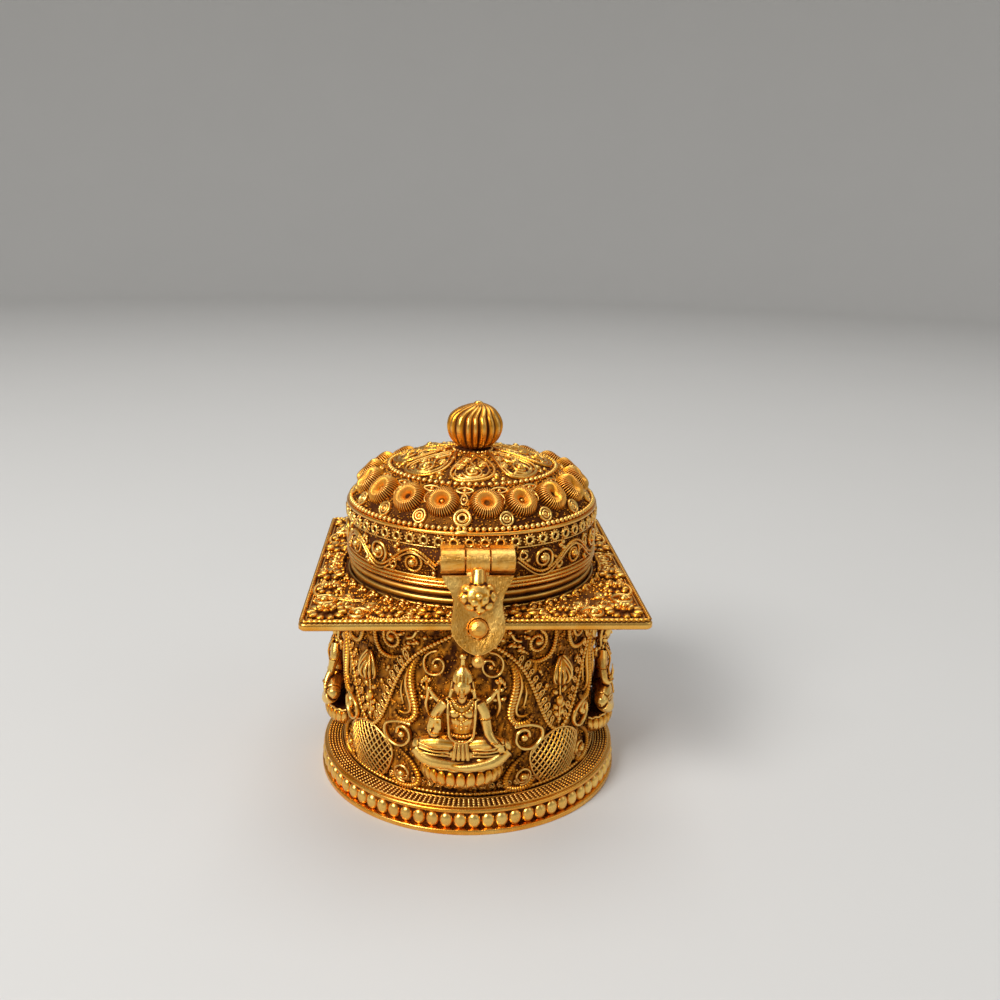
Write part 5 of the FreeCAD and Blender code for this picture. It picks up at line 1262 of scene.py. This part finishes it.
class PAAN_OT_band(Operator):
    """Builds the scrolls and the row of ring flowers on the lid's band"""
    bl_idname = "paan.band"
    bl_label = "Band scrolls"

    def execute(self, context):
        sizes = context.scene.paan_sizes
        shapes = []
        # A vine along each side, from the hasp to the back hinge, with a curl in every wave
        for first, last, crest, period in ((17.2, 162.8, 48.5, 37.5), (-162.8, -17.2, -27.9, 36.4)):
            place = np.linspace(first, last, 700)
            wave = 49.3 + 2.05 * np.cos(2 * np.pi * (place - crest) / period)
            vine = arc(place, wave, 0.28, BAND)
            shapes.append(rope(evenly(vine, 0.1), 0.34, 1.1, sides=6, depth=0.3))
            shapes.append(tube(evenly(vine + (0, -0.72, 0), 0.3), 0.19, 0.32, sides=6))
            for side, phase in ((1, 0.0), (-1, 0.5)):
                for k in range(-6, 7):
                    at = crest + (k + phase) * period
                    if not first + 5 < at < last - 5:
                        continue
                    middle = (np.radians(at) * BAND, 49.25 - side * 0.35)
                    line = curl(middle, 90 * side + 30, -1.45 * side, 2.05, 0.75, 0.1)
                    line[:, 2] = 0.26
                    if side > 0:
                        shapes.append(rope(line, 0.3, 1.0, sides=6, depth=0.3))
                    else:
                        shapes.append(tube(line[::2], 0.27, 0.45, sides=6))
                    shapes.append(dots([(*middle, 0.3)], 0.82, 10, 5))
                    for shift, rise in ((4.0, -1.9), (4.75, -1.35), (4.5, -2.45), (-4.1, -2.0)):
                        if first < at + shift * 2.4 < last:
                            shapes.append(dots([(middle[0] + shift, 49.3 + side * rise, 0.15)], 0.5))
                    if first + 9 < at < last - 9:
                        loop = curl((middle[0] - 3.9, 49.3 + side * -1.3), 40, 1.1, 0.95, 0.45, 0.15)
                        loop[:, 2] = 0.2
                        shapes.append(tube(loop, 0.19, 0.36, sides=6))
                        starts = [(middle[0] + shift, 49.3 - side * rise, 0.1)
                                  for shift, rise in ((2.1, 0.4), (-2.3, 0.6), (4.4, 0.6))]
                        frames = lying(side * np.array((25, 155, 65)))
                        shapes.append(spread(leaf(1.5, 0.7, 0.4), starts, frames))
        edges = [tube(arc(np.linspace(first, first + 146, 240), height, 0.1, BAND), 0.16, 0.24, sides=6)
                 for height in (46.65, 52.15) for first in (17, -163)]
        random = scattered(1300, (16.8, 46.9), (163.2, 52.0), 21)
        random = np.r_[random, random * (-1, 1)]
        grit = spread(ball(6, 3, 0.0), arc(*random.T, radius=BAND),
                      sizes=scattered(len(random), (0.10,), (0.2,), 22)[:, 0])
        grit.shade *= 0.5
        scrolls = bent(joined(*shapes, *edges, grit), BAND)
        # The row of ring flowers over the vines
        turn = full_turn(18)
        ring = tube(xyz(0.68 * np.cos(turn), 0.68 * np.sin(turn), 0.32), 0.25, 0.36, loop=True, sides=6,
                    low=0.6)
        turn = full_turn(11)
        teeth = spread(ball(6, 3, 0.7), xyz(1.03 * np.cos(turn), 1.03 * np.sin(turn), 0.3), sizes=0.19)
        count = sizes.ring_flowers
        places = xyz((np.arange(count) + 0.5) * 2 * np.pi * BAND / count, 53.35, 0)
        strip = turned([(23.3, 52.3), (23.55, 52.35), (23.55, 54.4), (23.3, 54.45)], 240, 0.3)
        flowers = joined(bent(spread(joined(ring, teeth), places), BAND), strip)
        ground = turned([(23.3, 46.55), (23.55, 46.6), (23.55, 52.1), (23.3, 52.15)], 240,
                        (0.1, 0.26, 0.2, 0.1))
        piece("band_scrolls", joined(scrolls, ground), "lid", ["band_vines"])
        piece("band_flowers", flowers, "lid", ["band_flower_row"])
        return {"FINISHED"}


class PAAN_OT_dome(Operator):
    """Builds the pleated rosettes, the ringed grains between them and the leaf cells on the lid's top"""
    bl_idname = "paan.dome"
    bl_label = "Dome ornament"

    def execute(self, context):
        sizes = context.scene.paan_sizes
        pleats = sizes.rosette_pleats
        # Radii and heights of a rosette, whose pleats grow deeper towards its rim
        out, form = np.array((
            (0.0, 0.25, 0.45, 0.65, 0.9, 1.25, 1.6, 1.9, 2.2, 2.5, 2.75, 2.95, 3.08, 3.12),
            (0.3, 0.34, 0.46, 0.8, 1.2, 1.52, 1.68, 1.7, 1.6, 1.35, 1.0, 0.5, -0.2, -0.7)))[..., None]
        turn = full_turn(pleats * 6)
        wave = np.abs(np.cos(pleats * turn / 2))
        deep = np.clip((out - 1.7) / 0.8, 0, 1)
        rise = form - (0.12 + 0.3 * deep) * (out > 0.85) * (1 - wave)
        reach = out * (1 - 0.18 * deep * (1 - wave))
        grid = xyz(reach * np.cos(turn), reach * np.sin(turn), rise)
        gap = (0.5 + 0.8 * deep) * (out > 0.85) * (1 - wave) ** 0.9
        # Tops and outer fingers are shaded high, so they take the bright gold: partly wear, partly a painted
        # highlight where they face the darker floor; the pleat gaps stay dark as hollows
        shade = np.clip(0.62 + 0.34 * form / 1.7 + 0.15 * deep - gap, 0, 1)
        shade = np.where(out < 0.55, 0.2, shade)
        rows, columns = grid.shape[:2]
        ring = np.arange(columns)
        base = np.r_[grid[1:].reshape(-1, 3), [[0, 0, 0.42]], [[0, 0, -0.5]]]
        n = (rows - 1) * columns
        last = (rows - 2) * columns
        body = lattice(rows - 1, columns, loop_columns=True)[:, ::-1]
        middle = xyz(ring, (ring + 1) % columns, n)
        under = xyz(last + (ring + 1) % columns, last + ring, n + 1)
        rosette = Shape(base, [body, middle, under], np.r_[shade[1:].ravel(), 0.25, 0.1])
        pit = spread(ball(8, 4, 0.3), [(0, 0, 0.5)], sizes=0.34)
        # The two rosettes at the front stand a little further apart than the others
        tilt, count, turned_by = 45.0, 18, 3.3
        near = [ring_places(1, 19.65, 59.05, tilt, turn) for turn in (5.0, -17.6)]
        bases, frames = ring_places(count, 19.65, 59.05, tilt, turned_by)
        places = (np.r_[near[0][0], bases[1:-1], near[1][0]], np.r_[near[0][1], frames[1:-1], near[1][1]])
        odd = (places[0][1::2], places[1][1::2])
        piece("lid_rosettes", joined(spread(rosette, *places), spread(pit, *odd)), "lid", ["rosettes"],
              "rosette gold")
        # Ringed grains between the rosettes, with a larger one and a tab at the front
        turn = full_turn(22)
        loop = xyz(1.13 * np.cos(turn), 1.2 * np.sin(turn), 0.25)
        small = loop * (0.56, 0.54, 1) + (0, 0, 0.2)
        cup = joined(tube(loop, 0.24, 0.5, loop=True, sides=6), tube(small, 0.2, 0.36, loop=True, sides=6),
                     spread(ball(8, 4, 0.3), [(0, 0, 0.3)], sizes=0.46))
        front = joined(tube(loop * (1.2, 1.15, 1), 0.33, 0.5, loop=True, sides=8, low=0.3),
                       tube(loop * (0.62, 0.58, 1), 0.28, 0.4, loop=True, sides=8, low=0.3))
        bases, frames = ring_places(count, 21.75, 56.75, 57.0, turned_by - 10.0)
        bezels = spread(cup, bases[1:], frames[1:])
        first = spread(front, bases[:1] + (0, 0, 0.25), frames[:1])
        seam = np.radians(turned_by - 10.0)
        tab = spread(ball(12, 6, 0.5), [about(23.6, seam, 54.95)], sizes=[(1.5, 0.62, 0.5)])
        # Sprigs above the ringed grains
        fill, frames = ring_places(count, 17.2, 60.55, 36.0, turned_by - 10.0)
        eye = xyz(1.5 * np.cos(turn), 0.62 * np.sin(turn) * (1 - 0.3 * np.cos(turn) ** 2), 0.15)
        drop = tube(eye[:, [1, 0, 2]] * (0.9, 0.75, 1) + (0, -2.0, 0), 0.18, 0.32, loop=True, sides=6)
        sprig = joined(tube(eye, 0.22, 0.36, loop=True, sides=6), drop,
                       dots([(0, 0, 0.2), (0, -1.9, 0.1)], [0.42, 0.4]))
        piece("lid_bezels", joined(bezels, first, tab, spread(sprig, fill, frames)), "lid", ["ring_bezels"])
        # A leaf cell of the top, with its scroll, twigs and grains, and the spray that parts two cells
        t = full_turn(90)
        along = 9.6 + 5.35 * np.cos(t)
        across = 5.5 * np.sin(t) * (0.6 + 0.4 * np.cos(t)) + 1.1 * np.sin(np.pi * (along - 4.25) / 10.7)
        outline = xyz(across, -along, 0.2)
        inner = xyz(across * 0.78 + 0.1, -(9.9 + 4.4 * np.cos(t)), 0.1)
        scroll = curl((0.9, -12.2), 200, 1.5, 2.0, 0.7, 0.12)
        tail = through([(1.2, -10.4, 0.1), (0.3, -8.8, 0.1), (0.6, -7.2, 0.1), (1.0, -6.0, 0.1)], 0.2)
        outline_wire = rope(evenly(np.r_[outline, outline[:1]], 0.1, True), 0.36, 1.1, 6, True, 0.3)
        outline_wire.shade = 0.25 + 0.75 * outline_wire.shade
        twig = spread(tube(curl((0, 0), 30, 1.1, 0.95, 0.4, 0.15), 0.2, 0.36, sides=6),
                      [(-1.5, -10.6, 0.1), (2.4, -9.4, 0.1), (-0.6, -8.0, 0.1)])
        cell = joined(outline_wire, tube(inner, 0.19, 0.32, loop=True, sides=6),
                      tube(scroll + (0, 0, 0.1), 0.24, 0.44, sides=6), tube(tail, 0.24, 0.4, sides=6), twig,
                      dots([(0.9, -12.2, 0.25), (-1.5, -10.6, 0.15), (2.4, -9.4, 0.15), (0.5, -5.9, 0.2),
                            (-1.3, -13.4, 0.1), (2.9, -13.0, 0.1), (-0.6, -8.0, 0.15), (0.9, -14.0, 0.1)],
                           [0.8, 0.46, 0.46, 0.42, 0.42, 0.42, 0.42, 0.4]))
        leafy = joined(spread(leaf(1.8, 0.9, 0.6), [(-0.1, -8.6, 0.05)]),
                       spread(leaf(2.0, 1.2, 0.6), [(0, -14.6, 0)]),
                       dots([(-0.9, -14.6, 0.1), (0.9, -14.6, 0.1), (0, -5.6, 0.1)], 0.44))
        pair = ((cell, np.radians(-6.5)), (leafy, np.radians(16.0)))
        cells = [swung(shape, np.cos(angle + shift), np.sin(angle + shift))
                 for angle in full_turn(8) for shape, shift in pair]
        for one in cells:
            one.points[:, 2] += dome_height(np.hypot(*one.points[:, :2].T))
        # Grit on the whole dome, denser outside the cells
        random = np.r_[scattered(3500, (0.0, 4.2), (360.0, 22.6), 31),
                       scattered(2700, (0.0, 16.0), (360.0, 22.8), 33)]
        spots = about(random[:, 1], np.radians(random[:, 0]), dome_height(random[:, 1]))
        grit = spread(ball(5, 2, 0.0), spots, sizes=scattered(len(spots), (0.13,), (0.31,), 32)[:, 0])
        grit.shade *= 0.6
        piece("lid_top_cells", joined(*cells, grit), "lid")
        return {"FINISHED"}


class PAAN_OT_knob(Operator):
    """Builds the ribbed knob, its neck and the curl on its top"""
    bl_idname = "paan.knob"
    bl_label = "Knob"

    def execute(self, context):
        ribs = context.scene.paan_sizes.knob_ribs
        line = through([(2.2, 64.7, 0), (3.1, 65.1, 0), (4.35, 66.2, 0), (5.15, 67.8, 0), (5.35, 69.3, 0),
                        (4.85, 70.9, 0), (3.7, 72.1, 0), (2.3, 72.85, 0), (1.2, 73.2, 0), (0.5, 73.35, 0)],
                        0.28)
        turn = full_turn(ribs * 8)
        # The ribs swirl near the top, and none is quite like the next
        share = np.linspace(0, 1, len(line))[:, None]
        swirl = turn + 0.5 * np.clip(share - 0.62, 0, 1) ** 1.3 * 3.0
        uneven = turn + 0.05 * np.sin(3 * turn) + 0.03 * np.sin(7 * turn + 1)
        wave = np.abs(np.cos(ribs * uneven / 2)) ** 0.7
        depth = 0.2 * np.sin(np.pi * np.clip(share * 1.04 + 0.02, 0, 1)) ** 0.5 + 0.1 * (share > 0.85)
        radius = line[:, :1] * (1 - depth * (1 - wave))
        lean = 0.75 * np.clip((line[:, 1:2] - 71.0) / 2.4, 0, 1) ** 1.6
        grid = about(radius, swirl, line[:, 1:2])
        grid[..., 0] += lean + 0.3
        shade = np.clip(0.9 - 1.2 * (1 - wave) * np.clip(depth / 0.2, 0, 1) - 0.6 * (share < 0.08), 0, 1)
        knob = capped(grid, shade)
        curl_line = through([(0.1, 0.3, 73.0), (0.7, -0.2, 73.3), (1.4, -0.1, 73.2), (1.9, 0.3, 72.75)], 0.15)
        top = tube(curl_line, 0.45 * swelled(len(curl_line), 0.5, 0.3), low=0.4)
        neck = turned([(2.0, 64.1), (3.6, 64.15), (3.6, 64.4), (2.9, 64.6), (2.5, 64.8), (2.5, 65.4),
                       (2.0, 65.4)], 96, (0.2, 0.4, 0.4, 0.2, 0.1, 0.1, 0.1))
        pearls = spread(ball(8, 4), *ring_places(26, 3.55, 64.4, 40.0), 0.4)
        piece("knob_ribs", joined(knob, top), "lid", ["knob"], "figure gold")
        piece("knob_collar", joined(neck, pearls), "lid", ["knob_neck"])
        return {"FINISHED"}


def leaned(shape):
    """A piece drawn on the flat hasp, x across, y up from the hinge axis and z forwards, leaned on the
    axis."""
    lean = np.radians(HASP_LEAN)
    x, y, z = shape.points.T
    deep = HASP_AXIS[0] - z * np.cos(lean) + y * np.sin(lean)
    high = HASP_AXIS[1] + z * np.sin(lean) + y * np.cos(lean)
    return Shape(xyz(x, deep, high), shape.faces, shape.shade)


def brick(low, high):
    """A box between its two opposite corners."""
    corners = np.array([(low[0], low[1]), (high[0], low[1]), (high[0], high[1]), (low[0], high[1])])
    return capped(np.stack([xyz(*corners.T, level) for level in (low[2], high[2])]), 0.8)


class PAAN_OT_hasp(Operator):
    """Builds the hasp: its waisted plate, the middle knuckle, the granule flower and the ball at its tip"""
    bl_idname = "paan.hasp"
    bl_label = "Hasp"

    def execute(self, context):
        # The plate's outline, and its section from the stud's hole to the edge and back
        half = through([(6.1, -2.5, 0), (5.75, -3.5, 0), (4.7, -5.2, 0), (4.2, -6.9, 0), (4.25, -8.4, 0),
                        (4.55, -10.2, 0), (4.45, -11.9, 0), (3.5, -13.8, 0), (1.9, -15.2, 0),
                        (0.35, -15.9, 0)], 0.3)
        top = xyz(np.linspace(-5.6, 5.6, 25), -2.5, 0)
        line = np.r_[top, half, (half * (-1, 1, 1))[::-1]][:, :2]
        middle = np.array((0.0, -11.385))
        away = unit(line - middle)
        hole = middle + 1.8 * away
        inset = line - 0.12 * away
        soft = middle + 2.0 * away
        levels = ((hole, 0.2), (inset, 0.2), (line, 0.35), (line, 0.88), (inset, 1.0), (soft, 1.0),
                  (hole, 0.93))
        grid = np.stack([xyz(*points.T, out) for points, out in levels])
        slab = Shape(grid.reshape(-1, 3), [lattice(7, len(line), True, True)[:, ::-1]], 0.8)
        # The middle knuckle, and the lid's outer two with the leaf behind them
        roll = full_turn(28)
        across = np.array((-2.0, -1.9, 1.9, 2.0))[:, None]
        wide = np.array((2.05, 2.15, 2.15, 2.05))[:, None]
        outer = xyz(across, wide * np.cos(roll), wide * np.sin(roll))
        bore = xyz(across[::-1], 0.8 * np.cos(roll), 0.8 * np.sin(roll))
        knuckle = Shape(np.r_[outer.reshape(-1, 3), bore.reshape(-1, 3)], [lattice(8, 28, True, True)], 0.8)
        outer_pair = spread(knuckle, [(-4.25, 0, 0), (4.25, 0, 0)], sizes=[(1.02, 0.98, 0.98)] * 2)
        outer_pair.points += (0, *HASP_AXIS)
        back = joined(brick((-6.3, -24.35, 49.8), (-2.25, -23.0, 53.2)),
                      brick((2.25, -24.35, 49.8), (6.3, -23.0, 53.2)),
                      brick((-2.25, -23.72, 49.8), (2.25, -23.1, 53.2)))
        piece("hasp_leaf", joined(outer_pair, back), "lid", ["hasp_hinge_leaf"], "brushed gold",
              sharp=40)
        lip = tube(np.array([(0, -1.0, 0.62), (0, -1.8, 0.6), (0, -2.9, 0.6)], float), 1.9, 0.4, sides=12,
                   low=0.8)
        piece("hasp_shield", leaned(joined(slab, knuckle, lip)), "hasp", ["hasp_plate"], "satin gold",
              sharp=40)
        # The granule flower: a ring of grains, those inside it, its stem and its tail
        petal = ball(12, 7, 0.25)
        outer = spread(petal, [(-1.8, -4.9, 1.4), (-2.2, -6.3, 1.5), (-1.2, -7.6, 1.4), (0.3, -8.1, 1.35),
                               (1.6, -7.4, 1.45), (2.3, -6.1, 1.5), (1.8, -4.8, 1.35), (0.1, -4.4, 1.3)],
                       sizes=[(1.0, 0.95, 0.9), (0.95, 1.05, 0.9), (1.1, 0.95, 0.95), (1.0, 0.9, 0.85),
                              (1.05, 1.05, 0.9), (0.9, 1.05, 0.9), (1.0, 0.9, 0.85), (1.2, 0.9, 0.95)])
        inner = spread(petal, [(-0.75, -5.5, 2.05), (0.75, -5.3, 2.0), (0.95, -6.6, 2.15),
                               (-0.55, -7.0, 2.05), (-1.35, -6.2, 1.9), (0.15, -6.1, 2.3), (0, -6.0, 1.75)],
                       sizes=[(0.85, 0.8, 0.8), (0.8, 0.75, 0.75), (0.9, 0.85, 0.8), (0.95, 0.8, 0.8),
                              (0.7, 0.75, 0.75), (0.75, 0.7, 0.8), (2.4, 2.2, 1.15)])
        stem = limb([(0.1, -1.5, 0.85), (0.1, -2.4, 0.9), (0.05, -3.3, 0.95), (0, -4.3, 1.0)],
                    [1.22, 1.28, 1.38, 1.42])
        tail = limb([(0, -7.6, 1.5), (0.2, -8.6, 1.2), (0.3, -9.2, 1.05)], [1.0, 0.6, 0.25])
        blob = fused(joined(outer, inner, stem, tail), 0.16, 3)
        piece("granule_flower", leaned(blob), "hasp", ["hasp_flower"], "figure gold")
        drop = joined(spread(ball(20, 12, 0.5), [(0, -16.85, 0.65)], sizes=1.08),
                      spread(ball(12, 5, 0.3), [(0, -15.85, 0.62)], sizes=[(0.5, 0.5, 0.42)]))
        piece("tip_ball", leaned(drop), "hasp", ["hasp_tip_ball"], "satin gold")
        return {"FINISHED"}


class PAAN_OT_kept(Operator):
    """Gives the hinge leaves, pins and stud that keep their CAD meshes the brushed finish"""
    bl_idname = "paan.kept"
    bl_label = "Hinges and stud"

    def execute(self, context):
        for name in ("box_hinge_leaf", "lid_hinge_pin", "latch_stud", "lid_hinge_leaf", "hasp_pin"):
            give(name, "brushed gold")
        return {"FINISHED"}


def give(node, name):
    """Gives a kept node its finish in every slot."""
    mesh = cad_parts[node].data
    if not mesh.materials:
        mesh.materials.append(None)
    for index in range(len(mesh.materials)):
        mesh.materials[index] = bpy.data.materials[name]


def main():
    """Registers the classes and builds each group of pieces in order."""
    register()
    scene = bpy.context.scene
    for step in STEPS:
        getattr(bpy.ops.paan, step)()
    scene.view_layers[0].update()


STEPS = ("finishes", "stage", "foot", "drum", "arches", "hooks", "scrolls", "buds", "nets", "figures",
         "lotus",
         "plate", "cup", "lid", "band", "dome", "knob", "hasp", "kept")
OPERATORS = (PAAN_OT_finishes, PAAN_OT_stage, PAAN_OT_foot, PAAN_OT_drum, PAAN_OT_arches, PAAN_OT_hooks,
             PAAN_OT_scrolls, PAAN_OT_buds, PAAN_OT_nets, PAAN_OT_figures, PAAN_OT_lotus, PAAN_OT_plate,
             PAAN_OT_cup, PAAN_OT_lid, PAAN_OT_band, PAAN_OT_dome, PAAN_OT_knob, PAAN_OT_hasp, PAAN_OT_kept)


class PAAN_PT_box(Panel):
    """Sizes, colours and the steps that build the box"""
    bl_idname = "PAAN_PT_box"
    bl_label = "Paan box"
    bl_space_type = "VIEW_3D"
    bl_region_type = "UI"
    bl_category = "Paan box"

    def draw(self, context):
        for group in (context.scene.paan_sizes, context.scene.paan_colours):
            column = self.layout.column()
            for name in group.__annotations__:
                column.prop(group, name)
        for operator in OPERATORS:
            self.layout.operator(operator.bl_idname)


def register():
    for group in (BoxSizes, BoxColours, *OPERATORS, PAAN_PT_box):
        bpy.utils.register_class(group)
    bpy.types.Scene.paan_sizes = PointerProperty(type=BoxSizes)
    bpy.types.Scene.paan_colours = PointerProperty(type=BoxColours)


def unregister():
    del bpy.types.Scene.paan_sizes
    del bpy.types.Scene.paan_colours
    for group in (PAAN_PT_box, *OPERATORS[::-1], BoxColours, BoxSizes):
        bpy.utils.unregister_class(group)


if __name__ == "__main__":
    main()
